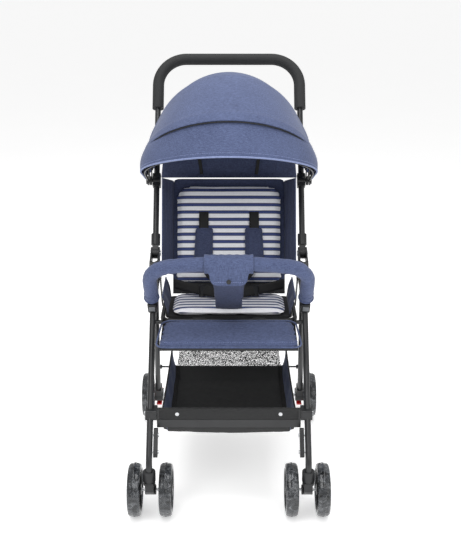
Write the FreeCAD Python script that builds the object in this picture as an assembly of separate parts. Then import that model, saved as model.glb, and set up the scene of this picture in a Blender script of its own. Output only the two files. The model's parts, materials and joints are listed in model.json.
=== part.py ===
"""Folding baby stroller, millimetres.

X is across the stroller (+X is the seated child's left), Y runs from front to rear, Z is up.
The origin is on the ground, midway between the front and rear axles, so the model stands on Z = 0.
"""
import FreeCAD
import Part
import math
import os

Vec = FreeCAD.Vector
X_AXIS = Vec(1, 0, 0)

# ---------------------------------------------------------------- driving dimensions
WHEEL_R = 65.0                 # tyre radius, the same on all six wheels
WHEEL_W = 30.0                 # tyre width
WHEELBASE = 540.0              # front axle to rear axle
FRAME_X = 188.0                # side frame plane to the centre plane
REAR_FOOT_X = 207.0            # the rear legs splay out to this at the axle
FOLD_PIVOT_Z = 515.0           # height of the pivot that joins front and rear legs
HANDLE_PIVOT = (40.0, 52.0)    # handle pivot, behind and above the fold pivot
HANDLE_TOP = (311.0, 1030.0)   # centre of the handle's cross bar (y, z)
HANDLE_BEND_R = 75.0
CASTER_TRAIL = 28.0            # front axle behind the swivel axis
TWIN_PITCH = 75.0              # distance between the two wheels of a caster
LEG_W = 14.5                   # oval leg tube, across X
LEG_D = 24.0                   # oval leg tube, in the side plane
LEG_WALL = 1.5
HANDLE_TUBE_R = 7.5
GRIP_R = 15.0
GRIP_START = 395.0             # where the foam starts, measured from the handle pivot
LEG_OFFSET = 28.0              # front leg axis to the fold pivot, square to the leg
LEG_BEND_Z = 150.0             # where the front leg turns upright above the caster
LEG_BEND_RUN = 16.16            # how far the bend reaches along the leg, each side of its corner
LEG_BOTTOM_Z = 132.0
SEAT_Z = 430.0                 # height of the seat loop's tube axis
SEAT_SETBACK = 7.888           # front of the seat loop behind the front leg's axis
SEAT_REAR_Y = 85.0
SEAT_LOOP_X = 165.0
SEAT_TUBE_R = 6.0
SEAT_LOOP_BEND_R = 26.0
BACK_LEAN = 20.0               # backrest from upright
BACK_LENGTH = 305.0
BACK_HALF_W = 148.0
WING_DEPTH = 72.0               # side wings stand this far ahead of the backrest
CALF_LENGTH = 141.0
CALF_DROP = 10.0               # calf rest below level
CALF_HALF_W = 175.0
BUMPER_MOUTH_Z = 488.0         # height of the mouth of the bumper bar's socket
BUMPER_AHEAD = 42.978          # that mouth ahead of the front leg's axis
BUMPER_RUN = 93.0              # middle of the bumper bar ahead of its mouths
BUMPER_RISE = 120.0            # and above them
BUMPER_TUBE_R = 8.0
BUMPER_INSERT = 16.0           # how deep the bar sits in its sockets
BUMPER_PAD_R = 17.5
BUMPER_BEND_R = 62.0
BUMPER_BOW = 14.0              # how far the middle of the bar stands beyond its corners
CANOPY_ALONG = 195.0           # handle pivot to canopy pivot, along the handle tube
CANOPY_LEG = 100.0             # straight side of each canopy arch
BOW_T = 3.0
BOW_W = 9.0
FABRIC_T = 1.5
LAYER_GAP = 0.35               # between canopy layers that slide over each other
BOW_ANGLES = (16.0, 50.4, 67.6)   # rear, middle and front bow, forward of upright
CANOPY_REAR_ANGLE = -22.0
CROSSBAR_Z = 238.0
CROSSBAR_H = 46.0
FLAP_RECESS = 0.8              # the basket's flap lies in this step along the crossbar's upper half
FLAP_LOW = 3.0                 # lower edge of that step, below the middle of the crossbar
BASKET_HALF_W = 160.0
BASKET_FLOOR_Z = 160.0
BASKET_RIM_Z = 256.0
REAR_ROD_Z = 185.0
FOLD_ANGLE = 158.0             # how far the handle turns back when the stroller folds
RUN_FIT = 0.05                 # radial clearance of a turning fit
SNUG = 0.1                     # clearance of a fixed fit

FRONT_AXLE_Y = -WHEELBASE / 2
REAR_AXLE_Y = WHEELBASE / 2
STEM_Y = FRONT_AXLE_Y - CASTER_TRAIL
FOLD_PIVOT = (0.0, FOLD_PIVOT_Z)
HANDLE_Q = (FOLD_PIVOT[0] + HANDLE_PIVOT[0], FOLD_PIVOT[1] + HANDLE_PIVOT[1])
REAR_AXLE = (REAR_AXLE_Y, WHEEL_R)
PLATE_IN = LEG_W / 2 + 0.5     # inner face of a hinge cheek from the frame plane
PLATE_OUT = PLATE_IN + 3.5
PIN_R = 4.0
HOUSING_LOW_Z = FOLD_PIVOT_Z - 17.0
SLEEVE_R = 11.5                # lock sleeve on the handle tube
SLEEVE_START = 21.0            # along the handle tube from its pivot


# ---------------------------------------------------------------- helpers
def pt(y, z, x=0.0):
    return Vec(x, y, z)


def unit(a, b):
    """Unit vector in the side plane from a to b, both (y, z)."""
    length = math.hypot(b[0] - a[0], b[1] - a[1])
    return ((b[0] - a[0]) / length, (b[1] - a[1]) / length)


def along(a, direction, distance, aside=0.0):
    """The point at a distance along a side-plane direction, and aside to its left."""
    return (a[0] + direction[0] * distance - direction[1] * aside,
            a[1] + direction[1] * distance + direction[0] * aside)


def box(x0, x1, y0, y1, z0, z1):
    return Part.makeBox(x1 - x0, y1 - y0, z1 - z0, Vec(x0, y0, z0))


def disc(x0, x1, centre, radius):
    """Cylinder along X between x0 and x1."""
    return Part.makeCylinder(radius, x1 - x0, pt(centre[0], centre[1], x0), X_AXIS)


def plate(x0, x1, outline):
    """Side-plane outline given a thickness from x0 to x1."""
    points = [pt(y, z, x0) for y, z in outline]
    wire = Part.makePolygon(points + points[:1])
    return Part.Face(wire).extrude(Vec(x1 - x0, 0, 0))


def bar(x0, x1, a, b, half):
    """Straight flat bar from a to b."""
    d = unit(a, b)
    n = (-d[1] * half, d[0] * half)
    corners = [(a[0] + n[0], a[1] + n[1]), (b[0] + n[0], b[1] + n[1]),
               (b[0] - n[0], b[1] - n[1]), (a[0] - n[0], a[1] - n[1])]
    return plate(x0, x1, corners)


def link(x0, x1, a, b, radius):
    """Flat bar with round ends."""
    return join(disc(x0, x1, a, radius), disc(x0, x1, b, radius), bar(x0, x1, a, b, radius))


def join(first, *others):
    shape = first
    for other in others:
        shape = shape.fuse(other)
    return shape.removeSplitter()


def cut(shape, *tools):
    for tool in tools:
        shape = shape.cut(tool)
    return shape


def mirrored(shape):
    return shape.mirror(Vec(0, 0, 0), X_AXIS)


def both(shape):
    """The piece and its mirror image as two separate solids."""
    return Part.makeCompound([shape, mirrored(shape)])


def oval_wire(width, depth, centre, across, deep):
    """Stadium outline: width along across, depth along deep, with round ends."""
    r = width / 2
    flat = depth / 2 - r
    a = centre + across * r + deep * flat
    b = centre - across * r + deep * flat
    c = centre - across * r - deep * flat
    d = centre + across * r - deep * flat
    top = centre + deep * (depth / 2)
    low = centre - deep * (depth / 2)
    edges = [Part.Arc(a, top, b).toShape(), Part.LineSegment(b, c).toShape(),
             Part.Arc(c, low, d).toShape(), Part.LineSegment(d, a).toShape()]
    return Part.Wire(edges)


def circle_wire(radius, centre, normal):
    return Part.Wire([Part.Circle(centre, normal, radius).toShape()])


def rounded_path(points, radii):
    """Straight runs joined by tangent arcs; one radius for each inner point."""
    edges = []
    start = points[0]
    for i in range(1, len(points) - 1):
        back = (points[i - 1] - points[i]).normalize()
        ahead = (points[i + 1] - points[i]).normalize()
        half = back.getAngle(ahead) / 2
        set_back = radii[i - 1] / math.tan(half)
        p_in = points[i] + back * set_back
        p_out = points[i] + ahead * set_back
        middle = (back + ahead).normalize()
        centre = points[i] + middle * (radii[i - 1] / math.sin(half))
        p_mid = centre - middle * radii[i - 1]
        edges.append(Part.LineSegment(start, p_in).toShape())
        edges.append(Part.Arc(p_in, p_mid, p_out).toShape())
        start = p_out
    edges.append(Part.LineSegment(start, points[-1]).toShape())
    return Part.Wire(edges)


def sweep(path, profile):
    return path.makePipeShell([profile], True, True)


def round_tube(points, radii, radius, bore=0.0):
    path = rounded_path(points, radii)
    normal = points[1] - points[0]
    solid = sweep(path, circle_wire(radius, points[0], normal))
    if bore:
        solid = solid.cut(sweep(path, circle_wire(bore, points[0], normal)))
    return solid


def straight_oval_tube(start, end, width, depth, wall):
    """Straight hollow tube whose wide faces stand as upright to X as its slope allows."""
    d = (end - start).normalize()
    across = (X_AXIS - d * d.dot(X_AXIS)).normalize()
    deep = d.cross(across)
    outer = Part.Face(oval_wire(width, depth, start, across, deep)).extrude(end - start)
    inner = Part.Face(oval_wire(width - 2 * wall, depth - 2 * wall, start, across, deep)).extrude(end - start)
    return outer.cut(inner)


def slab(points, normal, thickness):
    """Flat polygon given a thickness along its normal."""
    wire = Part.makePolygon(points + points[:1])
    return Part.Face(wire).extrude(normal * thickness)


def soften(shape, radius, keep=lambda edge: True):
    """Round the edges that keep selects."""
    return shape.makeFillet(radius, [e for e in shape.Edges if keep(e)])


# ---------------------------------------------------------------- front leg line
def leg_slope():
    """Slope of the front leg, tangent to a circle of LEG_OFFSET about the fold pivot."""
    rise = FOLD_PIVOT[1] - LEG_BEND_Z
    run = FOLD_PIVOT[0] - STEM_Y
    return math.atan2(rise, run) + math.asin(LEG_OFFSET / math.hypot(rise, run))


LEG_ANGLE = leg_slope()
LEG_DIR = (math.cos(LEG_ANGLE), math.sin(LEG_ANGLE))
LEG_BEND = (STEM_Y, LEG_BEND_Z)
LEG_HEAD = along(LEG_BEND, LEG_DIR, math.hypot(FOLD_PIVOT[0] - STEM_Y, FOLD_PIVOT[1] - LEG_BEND_Z))


LEG_BEND_R = LEG_BEND_RUN / math.tan((math.pi / 2 - LEG_ANGLE) / 2)


def leg_point(z, aside=0.0):
    """Point on the sloping part of the front leg at height z, aside to its upper side."""
    on_axis = along(LEG_BEND, LEG_DIR, (z - LEG_BEND[1]) / LEG_DIR[1])
    return along(on_axis, LEG_DIR, 0.0, aside)


SEAT_FRONT_Y = leg_point(SEAT_Z)[0] + SEAT_SETBACK
BUMPER_START = (leg_point(BUMPER_MOUTH_Z)[0] - BUMPER_AHEAD, BUMPER_MOUTH_Z)
BUMPER_TOP = (BUMPER_START[0] - BUMPER_RUN, BUMPER_START[1] + BUMPER_RISE)


def leg_hole(centre):
    """Room for the front leg in a piece that clamps round it near a point of its axis."""
    start = along(centre, LEG_DIR, -150.0)
    outline = oval_wire(LEG_W + 2 * SNUG, LEG_D + 2 * SNUG, pt(start[0], start[1], FRAME_X), X_AXIS,
                        pt(-LEG_DIR[1], LEG_DIR[0]))
    return Part.Face(outline).extrude(pt(LEG_DIR[0] * 300.0, LEG_DIR[1] * 300.0))


# ---------------------------------------------------------------- wheels and axles
RIM_R = 49.0
AXLE_R = 5.0
FRONT_AXLE_R = 4.0
REAR_WHEEL_X = REAR_FOOT_X + 31.0


def tyre(x_centre, centre):
    shape = disc(x_centre - WHEEL_W / 2, x_centre + WHEEL_W / 2, centre, WHEEL_R)
    shape = soften(shape, 7.0, lambda e: e.Length > 2 * WHEEL_R)
    return shape.cut(disc(x_centre - WHEEL_W / 2, x_centre + WHEEL_W / 2, centre, RIM_R))


def rim(x_centre, centre, bore_r, spokes=6):
    half = WHEEL_W / 2 - 3.0
    ring = cut(disc(x_centre - half, x_centre + half, centre, RIM_R - 0.02),
               disc(x_centre - half, x_centre + half, centre, RIM_R - 6.0))
    hub = disc(x_centre - WHEEL_W / 2, x_centre + WHEEL_W / 2, centre, 13.0)
    shape = ring.fuse(hub)
    for i in range(spokes):
        angle = 2 * math.pi * i / spokes
        tip = along(centre, (math.cos(angle), math.sin(angle)), RIM_R - 4.0)
        shape = shape.fuse(bar(x_centre - 7.0, x_centre + 7.0, centre, tip, 4.5))
    return shape.cut(disc(x_centre - WHEEL_W, x_centre + WHEEL_W, centre, bore_r)).removeSplitter()


def rear_axle():
    end = REAR_WHEEL_X + WHEEL_W / 2 + 1.0
    rod = disc(-end, end, REAR_AXLE, AXLE_R)
    return join(rod, disc(end, end + 3.0, REAR_AXLE, 9.0), disc(-end - 3.0, -end, REAR_AXLE, 9.0))


# ---------------------------------------------------------------- rear legs
def rear_leg_ends():
    d = unit(FOLD_PIVOT, REAR_AXLE)
    top = along(FOLD_PIVOT, d, 32.0)
    low = along(REAR_AXLE, d, -40.0)
    return pt(top[0], top[1], FRAME_X), pt(low[0], low[1], REAR_FOOT_X)


def rear_leg():
    top, low = rear_leg_ends()
    return straight_oval_tube(top, low, LEG_W, LEG_D, LEG_WALL)


LEG_PLUG = LEG_D / 2 - LEG_WALL - 3.5     # half depth of the plugs that fill the rear leg's ends


def rear_knuckle():
    d = unit(FOLD_PIVOT, REAR_AXLE)
    head = disc(FRAME_X - LEG_W / 2, FRAME_X + LEG_W / 2, FOLD_PIVOT, 14.0)
    arm = bar(FRAME_X - LEG_W / 2, FRAME_X + LEG_W / 2, FOLD_PIVOT, along(FOLD_PIVOT, d, 31.0), LEG_D / 2)
    plug = bar(FRAME_X - 4.0, FRAME_X + 4.0, FOLD_PIVOT, along(FOLD_PIVOT, d, 46.0), LEG_PLUG)
    bore = disc(FRAME_X - LEG_W, FRAME_X + LEG_W, FOLD_PIVOT, PIN_R + RUN_FIT)
    return cut(join(head, arm, plug), bore)


BRAKE_PIVOT = (REAR_AXLE_Y + 28.0, WHEEL_R + 1.0)
FOOT_R = 18.0


def rear_foot():
    d = unit(FOLD_PIVOT, REAR_AXLE)
    x0 = REAR_FOOT_X - 12.0
    x1 = REAR_FOOT_X + 12.0
    boss = disc(x0, x1, REAR_AXLE, FOOT_R)
    shank = bar(x0 + 2.0, x1 - 2.0, REAR_AXLE, along(REAR_AXLE, d, -39.5), 14.0)
    plug = bar(REAR_FOOT_X - 4.0, REAR_FOOT_X + 4.0, REAR_AXLE, along(REAR_AXLE, d, -54.0), LEG_PLUG)
    cheeks = cut(link(x0, x1, REAR_AXLE, BRAKE_PIVOT, 7.0),
                 disc(x0 + 4.0, x1 - 4.0, BRAKE_PIVOT, 12.0))
    pin = disc(x0, x1, BRAKE_PIVOT, 3.0)
    bore = disc(x0 - 1.0, x1 + 1.0, REAR_AXLE, AXLE_R + RUN_FIT)
    return cut(join(boss, shank, plug, cheeks, pin), bore)


def brake_pedal():
    x0 = REAR_FOOT_X - 7.5
    x1 = REAR_FOOT_X + 7.5
    hub = disc(x0, x1, BRAKE_PIVOT, 7.0)
    tread = plate(x0, x1, [along(BRAKE_PIVOT, (1, 0), 0, 5), along(BRAKE_PIVOT, (1, 0), 30, -4),
                           along(BRAKE_PIVOT, (1, 0), 30, -9), along(BRAKE_PIVOT, (1, 0), 0, -6)])
    tongue = plate(x0, x1, [along(BRAKE_PIVOT, (1, 0), 6, -4), along(BRAKE_PIVOT, (1, 0), -2, -28),
                            along(BRAKE_PIVOT, (1, 0), -32, -28), along(BRAKE_PIVOT, (1, 0), -32, -32),
                            along(BRAKE_PIVOT, (1, 0), 2, -32), along(BRAKE_PIVOT, (1, 0), 12, -4)])
    return cut(join(hub, tread, tongue), disc(x0 - 1, x1 + 1, BRAKE_PIVOT, 3.0 + RUN_FIT))


def rear_rod_point():
    d = unit(FOLD_PIVOT, REAR_AXLE)
    return along(FOLD_PIVOT, d, (FOLD_PIVOT[1] - REAR_ROD_Z) / -d[1])


def rear_cross_rod():
    y, z = rear_rod_point()
    top, low = rear_leg_ends()
    leg_x = top.x + (low.x - top.x) * (top.z - z) / (top.z - low.z)
    end = leg_x - LEG_W / 2 - 0.6
    rod = disc(-end + 4.0, end - 4.0, (y, z), 2.5)
    return join(rod, disc(end - 4.5, end, (y, z), 6.0), disc(-end, 4.5 - end, (y, z), 6.0))


# ---------------------------------------------------------------- front frame
def front_leg():
    top = along(LEG_HEAD, LEG_DIR, 26.0)
    bottom = pt(STEM_Y, LEG_BOTTOM_Z, FRAME_X)
    corner = pt(LEG_BEND[0], LEG_BEND[1], FRAME_X)
    path = rounded_path([bottom, corner, pt(top[0], top[1], FRAME_X)], [LEG_BEND_R])
    outer = oval_wire(LEG_W, LEG_D, bottom, X_AXIS, Vec(0, 1, 0))
    inner = oval_wire(LEG_W - 2 * LEG_WALL, LEG_D - 2 * LEG_WALL, bottom, X_AXIS, Vec(0, 1, 0))
    return sweep(path, outer).cut(sweep(path, inner))


STEM_R = 6.0
RECEIVER_R = 15.0
RECEIVER_BOTTOM = 104.0


def front_receiver():
    height = LEG_BOTTOM_Z - 0.2 - RECEIVER_BOTTOM
    body = Part.makeCylinder(RECEIVER_R, height, Vec(FRAME_X, STEM_Y, RECEIVER_BOTTOM))
    body = soften(body, 2.0, lambda e: e.Length > RECEIVER_R)
    return body.cut(Part.makeCylinder(STEM_R + RUN_FIT, 22.0, Vec(FRAME_X, STEM_Y, RECEIVER_BOTTOM)))


def hinge_housing():
    """Two cheeks that straddle both pivots, closed at the front round the leg's head."""
    low = leg_point(HOUSING_LOW_Z)
    high = along(LEG_HEAD, LEG_DIR, 20.0)
    x_in, x_out = PLATE_IN, PLATE_OUT
    sides = []
    for x0, x1 in ((FRAME_X - x_out, FRAME_X - x_in), (FRAME_X + x_in, FRAME_X + x_out)):
        cheek = join(link(x0, x1, FOLD_PIVOT, HANDLE_Q, 16.0), link(x0, x1, low, high, 14.0),
                     plate(x0, x1, [FOLD_PIVOT, HANDLE_Q, high, low]),
                     link(x0, x1, high, HANDLE_Q, 12.0), link(x0, x1, low, FOLD_PIVOT, 12.0))
        sides.append(cheek)
    web = link(FRAME_X - x_in, FRAME_X + x_in, low, high, 14.0)
    body = join(sides[0], sides[1], web)
    return cut(body, leg_hole(low), sleeve_relief(),
               disc(FRAME_X - 20, FRAME_X + 20, FOLD_PIVOT, PIN_R + SNUG / 2),
               disc(FRAME_X - 20, FRAME_X + 20, HANDLE_Q, PIN_R + SNUG / 2))


def sleeve_relief():
    """Room beside the cheeks for the lock sleeve when the handle is folded back."""
    angle = math.atan2(HANDLE_TOP[1] - HANDLE_Q[1], HANDLE_TOP[0] - HANDLE_Q[0]) - math.radians(FOLD_ANGLE)
    folded = (math.cos(angle), math.sin(angle))
    side = SLEEVE_R - 2.0
    space = plate(FRAME_X - 20.0, FRAME_X + 20.0,
                  [along(HANDLE_Q, folded, 5.0, -side), along(HANDLE_Q, folded, 70.0, -side),
                   along(HANDLE_Q, folded, 70.0, 45.0), along(HANDLE_Q, folded, 5.0, 45.0)])
    return space.cut(disc(FRAME_X - 21.0, FRAME_X + 21.0, HANDLE_Q, SLEEVE_START - 0.5))


def hinge_pins():
    """Pins of the fold and handle pivots with their heads; the fold pin also carries a seat hanger."""
    out = FRAME_X + PLATE_OUT
    pins = []
    fold = join(disc(FRAME_X - PLATE_OUT - 6.0, out + 0.3, FOLD_PIVOT, PIN_R),
                disc(out + 0.2, out + 2.2, FOLD_PIVOT, 7.0))
    turn = join(disc(FRAME_X - PLATE_OUT - 0.3, out + 0.3, HANDLE_Q, PIN_R),
                disc(out + 0.2, out + 2.2, HANDLE_Q, 7.0),
                disc(FRAME_X - PLATE_OUT - 2.2, FRAME_X - PLATE_OUT - 0.2, HANDLE_Q, 7.0))
    for pin in (fold, turn):
        pins.extend([pin, mirrored(pin)])
    return pins


def crossbar():
    """Steel channel between the front legs; its lower half is a plain face that things can be fixed to."""
    y = leg_point(CROSSBAR_Z)[0]
    half = CROSSBAR_H / 2
    x1 = FRAME_X - LEG_W / 2 - 9.0
    web = box(-x1, x1, y - 5.0, y - 2.5, CROSSBAR_Z - half, CROSSBAR_Z + half)
    lip = box(-x1, x1, y - 5.0, y + 8.0, CROSSBAR_Z - half, CROSSBAR_Z - half + 2.5)
    cap = box(-x1, x1, y - 5.0, y + 8.0, CROSSBAR_Z + half - 2.5, CROSSBAR_Z + half)
    step = box(-x1, x1, y - 5.0, y - 5.0 + FLAP_RECESS, CROSSBAR_Z - FLAP_LOW, CROSSBAR_Z + half)
    return join(web, lip, cap).cut(step)


def crossbar_clamp():
    """Plastic collar round the front leg that carries one end of the crossbar."""
    y, z = leg_point(CROSSBAR_Z + 10.0)
    x0 = FRAME_X - LEG_W / 2 - 9.0
    x1 = FRAME_X + LEG_W / 2 + 3.5
    body = box(x0 + 0.02, x1, y - 19.0, y + 19.0, z - 12.0, z + 12.0)
    body = soften(body, 3.0, lambda e: abs(e.BoundBox.XLength) > 10.0)
    return body.cut(leg_hole((y, z)))


LINK_X = FRAME_X - LEG_W / 2 - 7.5


def lower_link():
    """Short oval stay beside the foot of each front leg."""
    low = leg_point(168.0)
    high = leg_point(212.0)
    body = link(LINK_X - 5.0, LINK_X + 5.0, low, high, 8.0)
    return cut(body, disc(LINK_X - 6, LINK_X + 6, leg_point(172.0), 2.5 + SNUG / 2),
               disc(LINK_X - 6, LINK_X + 6, leg_point(204.0), 2.5 + SNUG / 2))


def pins_and_bolts():
    """Hinge pins, bolts through the lower stays, and screws of the crossbar and its clamps."""
    solids = []
    for z in (172.0, 204.0):
        c = leg_point(z)
        bolt = join(disc(LINK_X - 8.0, FRAME_X - LEG_W / 2 - 0.05, c, 2.5),
                    disc(LINK_X - 8.0, LINK_X - 5.05, c, 4.5))
        solids.append(bolt)
    y = leg_point(CROSSBAR_Z)[0]
    screw = Part.makeCylinder(4.5, 2.0, Vec(123.0, y - 5.05 + FLAP_RECESS, CROSSBAR_Z + 12.0), Vec(0, -1, 0))
    solids.append(screw)
    y, z = leg_point(CROSSBAR_Z + 10.0)
    x1 = FRAME_X + LEG_W / 2 + 3.55
    solids.append(disc(x1, x1 + 2.5, (y - 2.0, z), 5.0))
    return Part.makeCompound(solids + [mirrored(s) for s in solids] + hinge_pins())


# ---------------------------------------------------------------- seat
def seat_frame():
    """Closed steel loop under the seat, with a stub to each front leg."""
    r = SEAT_LOOP_BEND_R
    corners = [(-SEAT_LOOP_X, SEAT_FRONT_Y), (SEAT_LOOP_X, SEAT_FRONT_Y),
               (SEAT_LOOP_X, SEAT_REAR_Y), (-SEAT_LOOP_X, SEAT_REAR_Y)]
    points = [Vec(0, SEAT_FRONT_Y, SEAT_Z)] + [Vec(x, y, SEAT_Z) for x, y in corners[1:] + corners[:1]]
    points.append(Vec(0, SEAT_FRONT_Y, SEAT_Z))
    loop = round_tube(points, [r, r, r, r], SEAT_TUBE_R)
    stub = disc(SEAT_LOOP_X, FRAME_X - LEG_W / 2 - 0.3, leg_point(SEAT_Z), 5.0)
    rear = (SEAT_FRONT_Y + r + 10.0, SEAT_Z)
    foot = bar(SEAT_LOOP_X - 2.5, SEAT_LOOP_X + 2.5, leg_point(SEAT_Z), rear, 5.0)
    return join(loop, stub, foot, mirrored(stub), mirrored(foot))


def seat_hanger():
    """Flat strap from the fold pin down to the rear of the seat loop."""
    x1 = FRAME_X - PLATE_OUT - 1.5
    low = (SEAT_REAR_Y - 34.0, SEAT_Z)
    body = link(x1 - 3.0, x1, FOLD_PIVOT, low, 9.0)
    return cut(body, disc(x1 - 5, x1 + 1, FOLD_PIVOT, PIN_R + SNUG / 2),
               disc(x1 - 20, x1 + 1, low, SEAT_TUBE_R + SNUG))


SEAT_TOP = SEAT_Z + SEAT_TUBE_R
CALF_LUG_R = SEAT_TUBE_R + 2.5     # the lugs of calf rest and backrest turn on the seat loop
BACK_LUG_R = SEAT_TUBE_R + 4.0


def seat_board():
    """Stiffener that fills the seat loop, short of the lugs at its front and rear."""
    half = SEAT_LOOP_X - SEAT_TUBE_R - 1.0
    body = box(-half, half, SEAT_FRONT_Y + CALF_LUG_R + 2.0, SEAT_REAR_Y - BACK_LUG_R - 12.0,
               SEAT_Z + 2.0, SEAT_Z + CALF_LUG_R + 0.2)
    return soften(body, SEAT_LOOP_BEND_R - SEAT_TUBE_R, lambda e: e.BoundBox.ZLength > 4.0)


def seat_pad():
    body = box(-BACK_HALF_W, BACK_HALF_W, SEAT_FRONT_Y + 2.0, SEAT_REAR_Y - BACK_LUG_R - 10.0,
               SEAT_Z + CALF_LUG_R + 0.5, SEAT_TOP + 20.0)
    return soften(body, 8.0, lambda e: e.BoundBox.ZLength > 10.0)


BACK_HINGE = (SEAT_REAR_Y, SEAT_Z)
BACK_DIR = (math.sin(math.radians(BACK_LEAN)), math.cos(math.radians(BACK_LEAN)))


def back_panel(x0, x1, low, high, behind, ahead):
    """Panel parallel to the backrest; ahead and behind are distances in front of the hinge line."""
    a = along(BACK_HINGE, BACK_DIR, low, behind)
    b = along(BACK_HINGE, BACK_DIR, high, behind)
    c = along(BACK_HINGE, BACK_DIR, high, ahead)
    d = along(BACK_HINGE, BACK_DIR, low, ahead)
    return plate(x0, x1, [a, b, c, d])


def backrest_board():
    board = back_panel(-BACK_HALF_W, BACK_HALF_W, 12.0, BACK_LENGTH - 4.0, -3.0, 3.0)
    shape = board
    for x in (-110.0, 80.0):
        lug = join(disc(x, x + 30.0, BACK_HINGE, BACK_LUG_R),
                   bar(x, x + 30.0, BACK_HINGE, along(BACK_HINGE, BACK_DIR, 20.0), 3.0))
        shape = shape.fuse(lug)
    return shape.cut(disc(-200, 200, BACK_HINGE, SEAT_TUBE_R + RUN_FIT)).removeSplitter()


def backrest_pad():
    body = back_panel(-BACK_HALF_W, BACK_HALF_W, 34.0, BACK_LENGTH, 3.3, 25.0)
    return soften(body, 9.0, lambda e: abs(e.BoundBox.XLength) < 1.0 and abs(e.Length - 21.7) < 1.0)


def side_wing():
    """Soft side panel that closes the space between the backrest and the side frame."""
    near = along(BACK_HINGE, BACK_DIR, 62.0, 3.3)
    outline = [(BACK_HALF_W + 0.5, 0.0), (BACK_HALF_W + 4.5, 0.0), (FRAME_X - PLATE_OUT - 3.0, WING_DEPTH),
               (FRAME_X - PLATE_OUT - 7.0, WING_DEPTH)]
    points = [pt(near[0] - BACK_DIR[1] * ahead, near[1] + BACK_DIR[0] * ahead, x) for x, ahead in outline]
    return slab(points, pt(BACK_DIR[0], BACK_DIR[1]), BACK_LENGTH - 62.0)


def strap_slab(x0, x1, low, high, ahead, thick):
    return back_panel(x0, x1, low, high, ahead, ahead + thick)


def shoulder_pad():
    return soften(strap_slab(40.0, 92.0, 90.0, 186.0, 28.0, 8.0), 3.0)


def shoulder_strap():
    return strap_slab(56.0, 81.0, 186.5, 228.0, 26.0, 2.0)


def lap_belt():
    """Webbing across the hips, from the seat's side to the buckle."""
    y = SEAT_REAR_Y - 60.0
    z = SEAT_TOP + 24.0
    points = [Vec(BACK_HALF_W - 6.0, y + 14.0, z + 12.0), Vec(24.0, y - 30.0, z),
              Vec(24.0, y - 32.0, z), Vec(BACK_HALF_W - 6.0, y + 12.0, z + 12.0)]
    return slab(points, Vec(0, 0, 1), 26.0)


def harness_straps():
    solids = [shoulder_strap(), lap_belt()]
    return Part.makeCompound(solids + [mirrored(s) for s in solids])


def buckle():
    y = SEAT_REAR_Y - 92.0
    z = SEAT_TOP + 22.0
    return soften(box(-23.0, 23.0, y - 12.0, y, z, z + 46.0), 4.0)


# ---------------------------------------------------------------- calf rest
CALF_HINGE = (SEAT_FRONT_Y, SEAT_Z)
CALF_DIR = (-math.cos(math.radians(CALF_DROP)), -math.sin(math.radians(CALF_DROP)))


def calf_board():
    a = along(CALF_HINGE, CALF_DIR, 12.0, 0.0)
    b = along(CALF_HINGE, CALF_DIR, CALF_LENGTH - 6.0, 0.0)
    shape = bar(-CALF_HALF_W + 12.0, CALF_HALF_W - 12.0, a, b, 2.5)
    for x in (-90.0, 60.0):
        lug = join(disc(x, x + 30.0, CALF_HINGE, CALF_LUG_R),
                   bar(x, x + 30.0, CALF_HINGE, along(CALF_HINGE, CALF_DIR, 16.0), 2.5))
        shape = shape.fuse(lug)
    return shape.cut(disc(-200, 200, CALF_HINGE, SEAT_TUBE_R + RUN_FIT)).removeSplitter()


def calf_pad():
    a = along(CALF_HINGE, CALF_DIR, 16.0, -2.8 - 6.5)
    b = along(CALF_HINGE, CALF_DIR, CALF_LENGTH, -2.8 - 6.5)
    body = bar(-CALF_HALF_W, CALF_HALF_W, a, b, 6.5)
    return soften(body, 12.0, lambda e: abs(e.BoundBox.XLength) < 1.0 and abs(e.Length - 13.0) < 0.5)


# ---------------------------------------------------------------- bumper bar
BUMPER_DIR = unit(BUMPER_START, BUMPER_TOP)
BUMPER_REACH = math.hypot(BUMPER_TOP[0] - BUMPER_START[0], BUMPER_TOP[1] - BUMPER_START[1])


def bumper_path(start):
    """Route of the bar: up from one socket, across in a slight bow, and down to the other."""
    def at(x, s):
        y, z = along(BUMPER_START, BUMPER_DIR, s)
        return pt(y, z, x)
    shoulder = BUMPER_REACH - BUMPER_BOW
    points = [at(FRAME_X, start), at(FRAME_X, shoulder), at(0.0, BUMPER_REACH + 2.0),
              at(-FRAME_X, shoulder), at(-FRAME_X, start)]
    return points, [BUMPER_BEND_R, 600.0, BUMPER_BEND_R]


def bumper_tube():
    points, radii = bumper_path(-BUMPER_INSERT)
    return round_tube(points, radii, BUMPER_TUBE_R, BUMPER_TUBE_R - 1.2)


def bumper_pad():
    points, radii = bumper_path(10.0)
    return round_tube(points, radii, BUMPER_PAD_R, BUMPER_TUBE_R + SNUG)


def bumper_cuff():
    """Sleeve round the middle of the bar, with the flap that holds the crotch strap."""
    y, z = BUMPER_TOP
    ring = cut(disc(-58.0, 58.0, (y, z), BUMPER_PAD_R + 6.0), disc(-59.0, 59.0, (y, z), BUMPER_PAD_R + 3.5))
    flap = box(-44.0, 44.0, y - BUMPER_PAD_R - 5.5, y - BUMPER_PAD_R - 2.5, z - 46.0, z)
    return join(ring, flap)


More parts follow.
